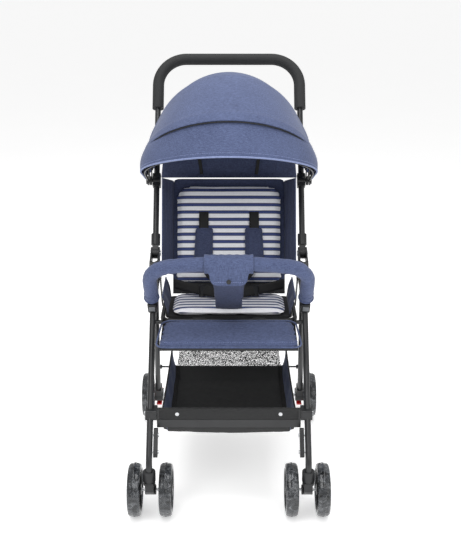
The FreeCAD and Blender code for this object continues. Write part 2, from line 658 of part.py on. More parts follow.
def bumper_socket():
    """Bracket on the front leg with the bore that takes the bar's end."""
    root = leg_point(BUMPER_START[1] - 22.0)
    axis = pt(BUMPER_DIR[0], BUMPER_DIR[1])
    base = along(BUMPER_START, BUMPER_DIR, -26.0)
    mouth = along(BUMPER_START, BUMPER_DIR, 6.0)
    x0, x1 = FRAME_X - 11.0, FRAME_X + 11.0
    barrel = Part.makeCylinder(12.0, 32.0, pt(base[0], base[1], FRAME_X), axis)
    arm = bar(x0, x1, along(root, LEG_DIR, 0.0, -12.0), along(BUMPER_START, BUMPER_DIR, -12.0), 11.0)
    collar = link(x0, x1, along(root, LEG_DIR, -5.0), along(root, LEG_DIR, 5.0), 15.0)
    hole = leg_hole(root)
    base = along(BUMPER_START, BUMPER_DIR, -BUMPER_INSERT - 1.0)
    bore = Part.makeCylinder(BUMPER_TUBE_R + RUN_FIT, 60.0, pt(base[0], base[1], FRAME_X), axis)
    boss = socket_block(BUTTON_W / 2 + 3.0, -25.0, 5.0, 0.0, BUTTON_FACE)
    pocket = socket_block(BUTTON_W / 2 + 0.2, BUTTON_LOW - 0.2, BUTTON_HIGH + 0.2, BUTTON_SEAT, 40.0)
    return cut(join(barrel, arm, collar, boss), hole, bore, pocket, mouth_clearance(mouth))


BUTTON_W = 15.0
BUTTON_LOW = -20.0             # along the socket's axis, from its mouth
BUTTON_HIGH = -3.0
BUTTON_SEAT = 12.5             # bottom of the button's pocket, in front of the socket's axis
BUTTON_FACE = 18.5             # front face of the socket
BUTTON_TRAVEL = 2.0


def socket_block(half_w, low, high, near, far):
    """Block on the socket, low to high along its axis and near to far in front of it."""
    a = along(BUMPER_START, BUMPER_DIR, low, near)
    b = along(BUMPER_START, BUMPER_DIR, high, near)
    c = along(BUMPER_START, BUMPER_DIR, high, far)
    d = along(BUMPER_START, BUMPER_DIR, low, far)
    return plate(FRAME_X - half_w, FRAME_X + half_w, [a, b, c, d])


def bumper_button():
    """Square release button on the front of each socket."""
    near = BUTTON_SEAT + BUTTON_TRAVEL + 0.2
    body = socket_block(BUTTON_W / 2, BUTTON_LOW, BUTTON_HIGH, near, BUTTON_FACE + BUTTON_TRAVEL + 0.4)
    return soften(body, 1.0)


def mouth_clearance(mouth):
    """Keeps the socket's mouth square to the bar."""
    return Part.makeCylinder(40.0, 60.0, pt(mouth[0], mouth[1], FRAME_X), pt(BUMPER_DIR[0], BUMPER_DIR[1]))


# ---------------------------------------------------------------- handle
HANDLE_DIR = unit(HANDLE_Q, HANDLE_TOP)
HANDLE_LENGTH = math.hypot(HANDLE_TOP[0] - HANDLE_Q[0], HANDLE_TOP[1] - HANDLE_Q[1])
CANOPY_PIVOT = along(HANDLE_Q, HANDLE_DIR, CANOPY_ALONG)


def handle_path(start):
    def at(x, s):
        y, z = along(HANDLE_Q, HANDLE_DIR, s)
        return pt(y, z, x)
    points = [at(FRAME_X, start), at(FRAME_X, HANDLE_LENGTH),
              at(-FRAME_X, HANDLE_LENGTH), at(-FRAME_X, start)]
    return points, [HANDLE_BEND_R, HANDLE_BEND_R]


def handle_tube():
    points, radii = handle_path(20.0)
    return round_tube(points, radii, HANDLE_TUBE_R, HANDLE_TUBE_R - 1.3)


def handle_grip():
    points, radii = handle_path(GRIP_START)
    return round_tube(points, radii, GRIP_R, HANDLE_TUBE_R + SNUG)


def handle_knuckle():
    head = disc(FRAME_X - LEG_W / 2, FRAME_X + LEG_W / 2, HANDLE_Q, 14.0)
    arm = bar(FRAME_X - LEG_W / 2, FRAME_X + LEG_W / 2, HANDLE_Q, along(HANDLE_Q, HANDLE_DIR, 19.9), 11.0)
    base = along(HANDLE_Q, HANDLE_DIR, 15.0)
    plug = Part.makeCylinder(HANDLE_TUBE_R - 1.3 - SNUG, 22.0, pt(base[0], base[1], FRAME_X),
                             pt(HANDLE_DIR[0], HANDLE_DIR[1]))
    return cut(join(head, arm, plug), disc(FRAME_X - 20, FRAME_X + 20, HANDLE_Q, PIN_R + RUN_FIT))


def lock_sleeve():
    """Collar that slides up the handle tube to free the hinge."""
    base = along(HANDLE_Q, HANDLE_DIR, SLEEVE_START)
    axis = pt(HANDLE_DIR[0], HANDLE_DIR[1])
    start = pt(base[0], base[1], FRAME_X)
    body = soften(Part.makeCylinder(SLEEVE_R, 30.0, start, axis), 1.5)
    return body.cut(Part.makeCylinder(HANDLE_TUBE_R + RUN_FIT, 40.0, start - axis * 5.0, axis))


# ---------------------------------------------------------------- canopy
CLIP_OUT = FRAME_X + HANDLE_TUBE_R + 2.5
REAR_PANEL_W = CLIP_OUT + LAYER_GAP + FABRIC_T
BOW1_W = REAR_PANEL_W + LAYER_GAP + BOW_T
BOW2_W = BOW1_W + LAYER_GAP + BOW_T
MAIN_W = BOW2_W + 0.1 + FABRIC_T
BOW3_W = MAIN_W + LAYER_GAP + BOW_T
VISOR_W = BOW3_W + 0.1 + FABRIC_T
HUB_R = 12.0
FABRIC_START = 30.0            # the fabric stops this far from the pivot


def canopy_clip():
    """Clamp on the handle tube with the stud that carries the three bows."""
    c = CANOPY_PIVOT
    inside = FRAME_X - HANDLE_TUBE_R - 3.0
    block = join(disc(inside, CLIP_OUT, c, 13.0),
                 bar(inside, CLIP_OUT, along(c, HANDLE_DIR, -17.0), along(c, HANDLE_DIR, 17.0), 11.0))
    base = along(c, HANDLE_DIR, -40.0)
    hole = Part.makeCylinder(HANDLE_TUBE_R + SNUG, 80.0, pt(base[0], base[1], FRAME_X),
                             pt(HANDLE_DIR[0], HANDLE_DIR[1]))
    stud = disc(CLIP_OUT, BOW3_W + 0.7, c, PIN_R)
    head = disc(BOW3_W + 0.5, BOW3_W + 3.5, c, 9.0)
    return join(cut(block, hole), stud, head)


def arch_face(outer, thick, start):
    """Band between two nested arches, in the upright plane through the canopy pivot."""
    y, z = CANOPY_PIVOT

    def wire_point(x, r):
        return Vec(x, y, z + r)
    inner = outer - thick
    edges = []
    for half, sense in ((outer, 1), (inner, -1)):
        a = wire_point(-sense * half, CANOPY_LEG)
        top = wire_point(0, CANOPY_LEG + half)
        b = wire_point(sense * half, CANOPY_LEG)
        edges.append(Part.LineSegment(wire_point(-sense * half, start), a).toShape())
        edges.append(Part.Arc(a, top, b).toShape())
        edges.append(Part.LineSegment(b, wire_point(sense * half, start)).toShape())
        other = inner if sense == 1 else outer
        foot = Part.LineSegment(wire_point(sense * half, start), wire_point(sense * other, start))
        edges.append(foot.toShape())
    return Part.Face(Part.Wire(edges))


def at_angle(shape, forward):
    """Turn a shape about the canopy pivot, forward of upright by some degrees."""
    turned = shape.copy()
    turned.rotate(pt(*CANOPY_PIVOT), X_AXIS, forward)
    return turned


def bow(outer, forward):
    band = arch_face(outer, BOW_T, 0.0)
    band.translate(Vec(0, -BOW_W / 2, 0))
    strip = band.extrude(Vec(0, BOW_W, 0))
    shape = strip
    for x0 in (outer - BOW_T, -outer):
        shape = shape.fuse(disc(x0, x0 + BOW_T, CANOPY_PIVOT, HUB_R))
    shape = shape.cut(disc(-250, 250, CANOPY_PIVOT, PIN_R + RUN_FIT)).removeSplitter()
    return at_angle(shape, forward)


def canopy_panel(outer, from_angle, to_angle):
    band = at_angle(arch_face(outer, FABRIC_T, FABRIC_START), from_angle)
    return band.revolve(pt(*CANOPY_PIVOT), X_AXIS, to_angle - from_angle)


def rear_curtain():
    """Cloth that hangs behind the backrest from the canopy's rear edge."""
    low_y = CANOPY_PIVOT[0] + 76.0
    wing_reach = math.hypot(BACK_LENGTH, WING_DEPTH + 4.0)
    low = (low_y, SEAT_Z + math.sqrt(wing_reach ** 2 - (low_y - SEAT_REAR_Y) ** 2) + 8.0)
    high = (low_y + 31.0, CANOPY_PIVOT[1] + 245.0)
    d = unit(low, high)
    length = math.hypot(high[0] - low[0], high[1] - low[1])
    points = []
    for x, s in ((-160.0, 0.0), (-160.0, 0.6), (-85.0, 1.0), (85.0, 1.0), (160.0, 0.6), (160.0, 0.0)):
        y, z = along(low, d, s * length)
        points.append(pt(y, z, x))
    return slab(points, pt(d[1], -d[0]), 2.0)


# ---------------------------------------------------------------- basket and strap
BASKET_FRONT_Y = leg_point(CROSSBAR_Z)[0] + 9.0


def basket():
    """Open tub with a floor, a front and two sides; the mesh panel closes its rear."""
    rear = rear_rod_point()[0] - 10.0
    wall = 2.5
    outer = plate(-BASKET_HALF_W, BASKET_HALF_W,
                  [(BASKET_FRONT_Y, BASKET_RIM_Z), (BASKET_FRONT_Y, BASKET_FLOOR_Z + 40.0),
                   (BASKET_FRONT_Y + 45.0, BASKET_FLOOR_Z), (rear - 40.0, BASKET_FLOOR_Z),
                   (rear, BASKET_FLOOR_Z + 20.0), (rear, BASKET_RIM_Z)])
    inner = plate(-BASKET_HALF_W + wall, BASKET_HALF_W - wall,
                  [(BASKET_FRONT_Y + wall, BASKET_RIM_Z + 1.0),
                   (BASKET_FRONT_Y + wall, BASKET_FLOOR_Z + 41.0),
                   (BASKET_FRONT_Y + 46.0, BASKET_FLOOR_Z + wall), (rear - 40.5, BASKET_FLOOR_Z + wall),
                   (rear + 1.0, BASKET_FLOOR_Z + 20.0 + wall), (rear + 1.0, BASKET_RIM_Z + 1.0)])
    return outer.cut(inner)


def basket_mesh():
    y = rear_rod_point()[0] - 10.0
    return box(-BASKET_HALF_W + 12.0, BASKET_HALF_W - 12.0, y + 0.3, y + 1.8, REAR_ROD_Z + 8.0, 330.0)


def crotch_strap():
    """Padded strip from the front of the seat up to the bumper bar."""
    low = (SEAT_FRONT_Y + 8.0, SEAT_TOP + 24.0)
    high = (BUMPER_TOP[0] + 14.0, BUMPER_TOP[1] - 40.0)
    d = unit(low, high)
    y0, z0 = low
    y1, z1 = high
    points = [pt(y0, z0, -32.0), pt(y1, z1, -40.0), pt(y1, z1, 40.0), pt(y0, z0, 32.0)]
    return slab(points, pt(-d[1], d[0]), 4.0)


# ---------------------------------------------------------------- casters
def caster_fork():
    """Stem, top disc and the arm that holds the axle between the twin wheels."""
    axle = (FRONT_AXLE_Y, WHEEL_R)
    stem = Part.makeCylinder(STEM_R, 20.0 + 6.0, Vec(FRAME_X, STEM_Y, RECEIVER_BOTTOM - 6.0))
    top = Part.makeCylinder(14.0, 8.0, Vec(FRAME_X, STEM_Y, RECEIVER_BOTTOM - 8.5))
    arm = plate(FRAME_X - 10.0, FRAME_X + 10.0,
                [(STEM_Y - 13.0, RECEIVER_BOTTOM - 1.0), (STEM_Y + 14.0, RECEIVER_BOTTOM - 1.0),
                 (FRONT_AXLE_Y + 10.0, WHEEL_R + 8.0), (FRONT_AXLE_Y - 10.0, WHEEL_R - 8.0),
                 (STEM_Y - 13.0, WHEEL_R + 16.0)])
    boss = disc(FRAME_X - 13.0, FRAME_X + 13.0, axle, 12.0)
    return cut(join(stem, top, arm, boss), disc(FRAME_X - 20, FRAME_X + 20, axle, FRONT_AXLE_R + RUN_FIT))


def caster_axle():
    end = TWIN_PITCH / 2 + WHEEL_W / 2
    return disc(FRAME_X - end, FRAME_X + end, (FRONT_AXLE_Y, WHEEL_R), FRONT_AXLE_R)


def twin(make):
    """One piece for each of the caster's two wheels."""
    centre = (FRONT_AXLE_Y, WHEEL_R)
    return Part.makeCompound([make(FRAME_X + side * TWIN_PITCH / 2, centre) for side in (-1, 1)])


# ---------------------------------------------------------------- write the pieces
def nodes():
    rear_centre = REAR_AXLE
    singles = {
        "rear_axle": rear_axle(),
        "rear_cross_rod": rear_cross_rod(),
        "crossbar": crossbar(),
        "pins_and_bolts": pins_and_bolts(),
        "seat_frame": seat_frame(),
        "seat_board": seat_board(),
        "seat_pad": seat_pad(),
        "backrest_board": backrest_board(),
        "backrest_pad": backrest_pad(),
        "buckle": buckle(),
        "calf_board": calf_board(),
        "calf_pad": calf_pad(),
        "bumper_tube": bumper_tube(),
        "bumper_pad": bumper_pad(),
        "bumper_cuff": bumper_cuff(),
        "crotch_strap": crotch_strap(),
        "handle_tube": handle_tube(),
        "handle_grip": handle_grip(),
        "canopy_rear_panel": canopy_panel(REAR_PANEL_W, CANOPY_REAR_ANGLE, BOW_ANGLES[0]),
        "canopy_main_panel": canopy_panel(MAIN_W, BOW_ANGLES[0], BOW_ANGLES[1]),
        "canopy_visor_panel": canopy_panel(VISOR_W, BOW_ANGLES[1], BOW_ANGLES[2]),
        "canopy_bow_rear": bow(BOW1_W, BOW_ANGLES[0]),
        "canopy_bow_middle": bow(BOW2_W, BOW_ANGLES[1]),
        "canopy_bow_front": bow(BOW3_W, BOW_ANGLES[2]),
        "rear_curtain": rear_curtain(),
        "basket": basket(),
        "basket_mesh": basket_mesh(),
        "harness_straps": harness_straps(),
    }
    pairs = {
        "rear_knuckles": rear_knuckle(),
        "front_receivers": front_receiver(),
        "crossbar_clamps": crossbar_clamp(),
        "lower_links": lower_link(),
        "seat_hangers": seat_hanger(),
        "side_wings": side_wing(),
        "shoulder_pads": shoulder_pad(),
        "rear_legs": rear_leg(),
        "rear_feet": rear_foot(),
        "front_legs": front_leg(),
        "hinge_housings": hinge_housing(),
        "bumper_sockets": bumper_socket(),
        "handle_knuckles": handle_knuckle(),
        "canopy_clips": canopy_clip(),
    }
    sided = {
        "brake_pedal": brake_pedal(),
        "rear_tyre": tyre(REAR_WHEEL_X, rear_centre),
        "rear_rim": rim(REAR_WHEEL_X, rear_centre, AXLE_R + RUN_FIT),
        "lock_sleeve": lock_sleeve(),
        "bumper_button": bumper_button(),
        "caster_fork": caster_fork(),
        "caster_axle": caster_axle(),
        "front_tyres": twin(tyre),
        "front_rims": twin(lambda x, c: rim(x, c, FRONT_AXLE_R + 0.02)),
    }
    out = dict(singles)
    for name, shape in pairs.items():
        out[name] = both(shape)
    for name, shape in sided.items():
        out[name + "_left"] = shape
        out[name + "_right"] = mirrored(shape)
    return out


def main():
    os.makedirs("parts", exist_ok=True)
    for name, shape in nodes().items():
        shape.exportStep("parts/" + name + ".step")


main()
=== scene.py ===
"""Folding baby stroller: cloth, foam, webbing, tyres and every finish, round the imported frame."""
import json
import math

import bmesh
import bpy
from bpy.props import FloatProperty, FloatVectorProperty, IntProperty, PointerProperty
from mathutils import Matrix, Vector, noise


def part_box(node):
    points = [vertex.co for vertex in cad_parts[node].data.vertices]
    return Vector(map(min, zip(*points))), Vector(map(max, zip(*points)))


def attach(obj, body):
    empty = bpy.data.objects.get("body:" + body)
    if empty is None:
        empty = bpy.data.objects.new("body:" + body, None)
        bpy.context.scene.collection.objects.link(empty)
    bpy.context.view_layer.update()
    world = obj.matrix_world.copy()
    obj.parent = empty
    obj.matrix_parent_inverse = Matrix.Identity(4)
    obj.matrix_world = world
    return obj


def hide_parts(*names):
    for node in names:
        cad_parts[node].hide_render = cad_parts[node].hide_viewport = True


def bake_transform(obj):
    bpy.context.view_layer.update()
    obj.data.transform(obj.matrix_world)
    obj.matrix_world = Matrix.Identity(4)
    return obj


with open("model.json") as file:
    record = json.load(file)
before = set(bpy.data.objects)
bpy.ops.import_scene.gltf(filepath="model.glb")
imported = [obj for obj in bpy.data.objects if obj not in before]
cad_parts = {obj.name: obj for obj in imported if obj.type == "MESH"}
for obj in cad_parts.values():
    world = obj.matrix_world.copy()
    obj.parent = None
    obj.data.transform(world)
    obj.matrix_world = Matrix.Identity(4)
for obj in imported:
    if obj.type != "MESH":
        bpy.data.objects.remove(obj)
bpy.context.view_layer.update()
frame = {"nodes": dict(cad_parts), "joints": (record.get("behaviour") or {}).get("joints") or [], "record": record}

bl_info = {
    "name": "Baby Stroller",
    "version": (1, 0, 0),
    "blender": (4, 5, 0),
    "location": "View3D > Sidebar > Stroller",
    "description": "Dresses a folding baby stroller's frame in cloth, foam and webbing",
    "category": "Add Mesh",
}

MM = 0.001
JOINTS = {j["name"]: j for j in frame["joints"]}
SIDES = (("left", 1), ("right", -1))


def srgb(code):
    """A hex colour as linear red, green, blue and alpha."""
    parts = [int(code[i:i + 2], 16) / 255 for i in (1, 3, 5)]
    return tuple(c / 12.92 if c <= 0.04045 else ((c + 0.055) / 1.055) ** 2.4 for c in parts) + (1.0,)


def colour(name, code, about):
    return FloatVectorProperty(name=name, description=about, subtype="COLOR", size=4, min=0, max=1,
                               default=srgb(code))


def length(name, size, about):
    return FloatProperty(name=name, description=about, default=size, min=0, unit="LENGTH", precision=4)


class StrollerCloth(bpy.types.PropertyGroup):
    """Colours and sizes of the cloth."""
    light_thread: colour("Light thread", "#5c698f", "Pale thread of the chambray")
    dark_thread: colour("Dark thread", "#283150", "Deep thread of the chambray")
    stripe_pale: colour("Pale stripe", "#fdfdff", "White of the striped lining")
    stripe_blue: colour("Blue stripe", "#3d4c80", "Blue of the striped lining")
    stripe_edge: colour("Stripe edge", "#222b55", "Dark line along each blue stripe")
    # The lining threads are the chambray's own threads darkened: painted shade for the inner cloth, which is the
    # same fabric.
    shaded_light_thread: colour("Lining light thread", "#465072", "Pale thread of the lining chambray")
    shaded_dark_thread: colour("Lining dark thread", "#1c2238", "Deep thread of the lining chambray")
    basket: colour("Basket cloth", "#242526", "Black cloth of the basket")
    webbing: colour("Webbing", "#151516", "Harness tape")
    stripe_pitch: length("Stripe pitch", 19.5 * MM, "From one blue stripe to the next")
    piping: length("Piping", 2.2 * MM, "Radius of the piped edges")
    swell: length("Swell", 9 * MM, "How far a pad may swell from its cut shape")


class StrollerHard(bpy.types.PropertyGroup):
    """Colours of the hard pieces."""
    tube: colour("Frame tube", "#1d1e20", "Satin powder coat on the tubes")
    plastic: colour("Black plastic", "#1a1b1d", "Moulded hinge, clamp and caster pieces")
    foam: colour("Grip foam", "#232425", "Foam of the handle grip")
    tyre: colour("Tyre", "#55585c", "Smoky clear tyre")
    brake: colour("Brake", "#d3141b", "Brake pedals")
    button: colour("Button", "#6f7276", "Release buttons of the bumper bar")
    treads: IntProperty(name="Tread blocks", description="Round one tyre", default=36, min=8, max=80)


# ---------------------------------------------------------------- nodes and finishes
def add(tree, kind, inputs=None, **settings):
    """One node with its settings, socket values and links."""
    made = tree.nodes.new(kind)
    for key, value in settings.items():
        setattr(made, key, value)
    for key, value in (inputs or {}).items():
        if isinstance(value, bpy.types.NodeSocket):
            tree.links.new(value, made.inputs[key])
        else:
            made.inputs[key].default_value = value
    return made


def start(name, **sockets):
    """A material whose shader has these socket values, with its node tree, shader and object coordinates."""
    made = bpy.data.materials.new(name)
    made.use_nodes = True
    tree = made.node_tree
    shader = tree.nodes["Principled BSDF"]
    for key, value in sockets.items():
        shader.inputs[key.replace("_", " ")].default_value = value
    place = add(tree, "ShaderNodeTexCoord").outputs["Object"]
    return made, tree, shader, place


def bump(tree, shader, height, strength, distance):
    made = add(tree, "ShaderNodeBump", {"Height": height, "Strength": strength, "Distance": distance})
    tree.links.new(made.outputs["Normal"], shader.inputs["Normal"])


def ramp(tree, value, stops):
    """Colour ramp: stops are (place, colour)."""
    made = add(tree, "ShaderNodeValToRGB", {"Fac": value})
    for i, (at, shade) in enumerate(stops):
        stop = made.color_ramp.elements[i] if i < 2 else made.color_ramp.elements.new(at)
        stop.position = at
        stop.color = shade
    return made.outputs["Color"]


def weave(tree, place, thread):
    """Height of a plain weave of that thread spacing, from two crossed sets of slubby threads."""
    warp = add(tree, "ShaderNodeMapping", {"Vector": place, "Scale": (1 / thread, 1 / thread, 0.16 / thread)})
    weft = add(tree, "ShaderNodeMapping", {"Vector": place,
                                           "Scale": (0.16 / thread, 0.3 / thread, 1 / thread)})
    one = add(tree, "ShaderNodeTexNoise", {"Vector": warp.outputs[0], "Scale": 1.0, "Detail": 2.0})
    two = add(tree, "ShaderNodeTexNoise", {"Vector": weft.outputs[0], "Scale": 1.0, "Detail": 2.0})
    both = add(tree, "ShaderNodeMath", {0: one.outputs["Fac"], 1: two.outputs["Fac"]}, operation="ADD")
    return add(tree, "ShaderNodeMath", {0: both.outputs[0], 1: 0.5}, operation="MULTIPLY").outputs[0]


def chambray(name, pale, deep):
    """Polyester chambray, plain weave of pale warp over deep weft: heathered, with a soft edge sheen."""
    made, tree, shader, place = start(name, Roughness=0.85, Sheen_Weight=0.12, Sheen_Roughness=0.5)
    # Real threads are 0.35 mm apart; they are drawn at 1.2 mm so that the heather shows.
    threads = weave(tree, place, 1.2 * MM)
    slow = add(tree, "ShaderNodeTexNoise", {"Vector": place, "Scale": 14.0, "Detail": 3.0})
    mixed = add(tree, "ShaderNodeMath", {0: slow.outputs["Fac"], 1: 0.16, 2: threads},
                operation="MULTIPLY_ADD")
    shade = ramp(tree, mixed.outputs[0], [(0.34, deep), (0.8, pale)])
    tree.links.new(shade, shader.inputs["Base Color"])
    bump(tree, shader, threads, 0.35, 0.5 * MM)
    return made


def striped(name, turn):
    """Woven cotton lining with dyed stripes; turn is the angle about X that brings the stripes level."""
    look = bpy.context.scene.stroller_cloth
    made, tree, shader, place = start(name, Roughness=0.8, Sheen_Weight=0.15)
    turned = add(tree, "ShaderNodeMapping", {"Vector": place, "Rotation": (turn, 0, 0)})
    split = add(tree, "ShaderNodeSeparateXYZ", {"Vector": turned.outputs[0]})
    rows = add(tree, "ShaderNodeMath", {0: split.outputs["Z"], 1: 1 / look.stripe_pitch},
               operation="MULTIPLY")
    part = add(tree, "ShaderNodeMath", {0: rows.outputs[0]}, operation="FRACT")
    white, edge, blue = look.stripe_pale, look.stripe_edge, look.stripe_blue
    shade = ramp(tree, part.outputs[0], [(0.0, edge), (0.05, white), (0.56, white), (0.6, edge),
                                         (0.68, blue), (0.88, blue), (0.95, edge), (1.0, edge)])
    threads = weave(tree, place, 1.2 * MM)
    grain = ramp(tree, threads, [(0.3, srgb("#e9eaee")), (0.7, srgb("#ffffff"))])
    mixed = add(tree, "ShaderNodeMix", {"Factor": 1.0, 6: shade, 7: grain}, data_type="RGBA",
                blend_type="MULTIPLY")
    tree.links.new(mixed.outputs[2], shader.inputs["Base Color"])
    bump(tree, shader, threads, 0.25, 0.4 * MM)
    return made


def black_cloth():
    """Coated oxford polyester, plain weave: near black, with a faint dry shine."""
    look = bpy.context.scene.stroller_cloth
    made, tree, shader, place = start("oxford_cloth", Roughness=0.72)
    threads = weave(tree, place, 1.5 * MM)
    shade = ramp(tree, threads, [(0.3, srgb("#161617")), (0.75, look.basket)])
    tree.links.new(shade, shader.inputs["Base Color"])
    bump(tree, shader, threads, 0.3, 0.4 * MM)
    return made


def webbing():
    """Woven nylon tape: black, ribbed along its length, dull."""
    look = bpy.context.scene.stroller_cloth
    made, tree, shader, place = start("nylon_webbing", Roughness=0.7)
    # The ribs are 1.4 mm apart, as on 25 mm harness tape.
    ribs = add(tree, "ShaderNodeTexWave", {"Vector": place, "Scale": 0.32 / (1.4 * MM), "Distortion": 1.0},
               bands_direction="DIAGONAL")
    shade = ramp(tree, ribs.outputs["Fac"], [(0.2, srgb("#0b0b0c")), (0.8, look.webbing)])
    tree.links.new(shade, shader.inputs["Base Color"])
    bump(tree, shader, ribs.outputs["Fac"], 0.5, 0.4 * MM)
    return made


def powder_coat():
    """Powder coated steel tube: satin black with a faint orange peel."""
    look = bpy.context.scene.stroller_hard
    made, tree, shader, place = start("powder_coat", Roughness=0.34)
    peel = add(tree, "ShaderNodeTexNoise", {"Vector": place, "Scale": 1 / (2.5 * MM), "Detail": 2.0})
    rub = add(tree, "ShaderNodeTexNoise", {"Vector": place, "Scale": 22.0, "Detail": 4.0})
    shade = ramp(tree, rub.outputs["Fac"], [(0.35, look.tube), (0.8, srgb("#2a2b2d"))])
    tree.links.new(shade, shader.inputs["Base Color"])
    gloss = add(tree, "ShaderNodeMapRange", {"Value": rub.outputs["Fac"], "To Min": 0.28, "To Max": 0.42})
    tree.links.new(gloss.outputs[0], shader.inputs["Roughness"])
    bump(tree, shader, peel.outputs["Fac"], 0.08, 0.3 * MM)
    return made


def moulded(name, shade, rough):
    """Injection moulded plastic with a spark eroded grain."""
    made, tree, shader, place = start(name, Roughness=rough, IOR=1.49)
    grain = add(tree, "ShaderNodeTexNoise", {"Vector": place, "Scale": 1 / (1.0 * MM), "Detail": 3.0})
    worn = add(tree, "ShaderNodeTexNoise", {"Vector": place, "Scale": 35.0, "Detail": 3.0})
    pale = tuple(min(1.0, c * 1.35 + 0.004) for c in shade[:3]) + (1.0,)
    worn_shade = ramp(tree, worn.outputs["Fac"], [(0.35, shade), (0.75, pale)])
    tree.links.new(worn_shade, shader.inputs["Base Color"])
    bump(tree, shader, grain.outputs["Fac"], 0.18, 0.25 * MM)
    return made


def foam():
    """Closed cell foam sleeve: dull black skin with fine open cells."""
    look = bpy.context.scene.stroller_hard
    made, tree, shader, place = start("nitrile_foam", Roughness=0.78)
    cells = add(tree, "ShaderNodeTexVoronoi", {"Vector": place, "Scale": 1 / (1.6 * MM)})
    shade = ramp(tree, cells.outputs["Distance"], [(0.0, srgb("#121213")), (0.6, look.foam)])
    tree.links.new(shade, shader.inputs["Base Color"])
    bump(tree, shader, cells.outputs["Distance"], 0.35, 0.4 * MM)
    return made


def steel():
    """Zinc plated steel: bright, with fine drawing marks."""
    made, tree, shader, place = start("zinc_plated_steel", Metallic=1.0, Roughness=0.3)
    marks = add(tree, "ShaderNodeTexNoise", {"Vector": place, "Scale": 1 / (1.2 * MM), "Detail": 3.0})
    shade = ramp(tree, marks.outputs["Fac"], [(0.3, srgb("#a9abae")), (0.7, srgb("#d9dadc"))])
    tree.links.new(shade, shader.inputs["Base Color"])
    bump(tree, shader, marks.outputs["Fac"], 0.1, 0.1 * MM)
    return made


def smoky_tyre():
    """Clear soft PVC tinted smoky black: wet looking, with bright glints where the light comes through, painted
    into its colour as pale patches.
    """
    look = bpy.context.scene.stroller_hard
    made, tree, shader, place = start("smoky_pvc", Roughness=0.1, IOR=1.52, Transmission_Weight=0.55)
    tint_and_glint = add(tree, "ShaderNodeTexNoise", {"Vector": place, "Scale": 60.0, "Detail": 5.0,
                                              "Distortion": 1.2})
    # From dark to mid grey is the smoky tint; the pale stop is painted highlight, glints put into the colour. The
    # same noise drives the bump.
    shade = ramp(tree, tint_and_glint.outputs["Fac"], [(0.3, srgb("#1a1b1c")), (0.52, look.tyre),
                                              (0.72, srgb("#9da0a4"))])
    tree.links.new(shade, shader.inputs["Base Color"])
    bump(tree, shader, tint_and_glint.outputs["Fac"], 0.6, 1.5 * MM)
    return made


def net():
    """Knitted polyester net: fine black threads round open holes."""
    made, tree, shader, place = start("knitted_net", Roughness=0.7)
    # Real holes are 1.2 mm; they are drawn at 2.4 mm so that they show.
    cells = add(tree, "ShaderNodeTexVoronoi", {"Vector": place, "Scale": 1 / (2.4 * MM)},
                feature="DISTANCE_TO_EDGE")
    holes = ramp(tree, cells.outputs["Distance"], [(0.1, (1, 1, 1, 1)), (0.16, (0, 0, 0, 1))])
    tree.links.new(ramp(tree, cells.outputs["Distance"], [(0.0, srgb("#3c3d3f")), (0.2, srgb("#1c1c1d"))]),
                   shader.inputs["Base Color"])
    tree.links.new(holes, shader.inputs["Alpha"])
    return made


def thread():
    """Spun polyester sewing thread: pale blue, dull."""
    made, tree, shader, place = start("sewing_thread", Roughness=0.7)
    twist = add(tree, "ShaderNodeTexNoise", {"Vector": place, "Scale": 1 / (0.8 * MM), "Detail": 1.0})
    shade = ramp(tree, twist.outputs["Fac"], [(0.3, srgb("#6f7da8")), (0.7, srgb("#94a0c4"))])
    tree.links.new(shade, shader.inputs["Base Color"])
    return made


LOOKS = {}                        # finish of each kind of piece, made once by the finishes operator


def make_looks():
    """Every finish, and the CAD pieces that keep their shape."""
    hard, soft = bpy.context.scene.stroller_hard, bpy.context.scene.stroller_cloth
    LOOKS.update(
        denim=chambray("woven_chambray", soft.light_thread, soft.dark_thread),
        # lining: the same chambray darkened as painted shade, for the curtain, backrest cover, wings, shoulder
        # pads, crotch pad and seat sides.
        lining=chambray("woven_chambray_painted_shade", soft.shaded_light_thread, soft.shaded_dark_thread),
        piping=chambray("woven_chambray_piping", srgb("#8f9cc2"), srgb("#5c6890")),
        thread=thread(), stripe_cloth=striped("striped_lining_upright", LEAN),
        stripe_flat=striped("striped_lining_level", math.radians(90)), basket_cloth=black_cloth(),
        webbing=webbing(), frame_paint=powder_coat(), steel=steel(),
        grip_foam=foam(), tyre_smoke=smoky_tyre(),
        basket_net=net(), black_plastic=moulded("glass_filled_nylon", hard.plastic, 0.42),
        board=moulded("moulded_polypropylene", hard.plastic, 0.6),
        rim_plastic=moulded("moulded_rim", hard.plastic, 0.38),
        brake_red=moulded("red_acetal", hard.brake, 0.28),
        grey_button=moulded("grey_acetal", hard.button, 0.4))
    slots = {part["node"]: part["material_slot"] for part in frame["record"]["subparts"]}
    for node, piece in frame["nodes"].items():
        look = LOOKS[slots[node]]
        if not piece.material_slots:
            piece.data.materials.append(look)
        for socket in piece.material_slots:
            socket.material = look


# ---------------------------------------------------------------- shapes
def keep(name, mesh, material, body, smooth=True):
    """The bmesh as a finished piece that rides on a body."""
    data = bpy.data.meshes.new(name)
    mesh.to_mesh(data)
    mesh.free()
    for face in data.polygons:
        face.use_smooth = smooth
    data.materials.append(material)
    made = bpy.data.objects.new(name, data)
    bpy.context.scene.collection.objects.link(made)
    if body:
        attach(made, body)
    return made


def grid(across, down, place):
    """A sheet of quads; place(u, v) gives each point, u and v from 0 to 1."""
    mesh = bmesh.new()
    bmesh.ops.create_grid(mesh, x_segments=across, y_segments=down, size=0.5)
    for vert in mesh.verts:
        vert.co = place(vert.co.x + 0.5, vert.co.y + 0.5)
    return mesh


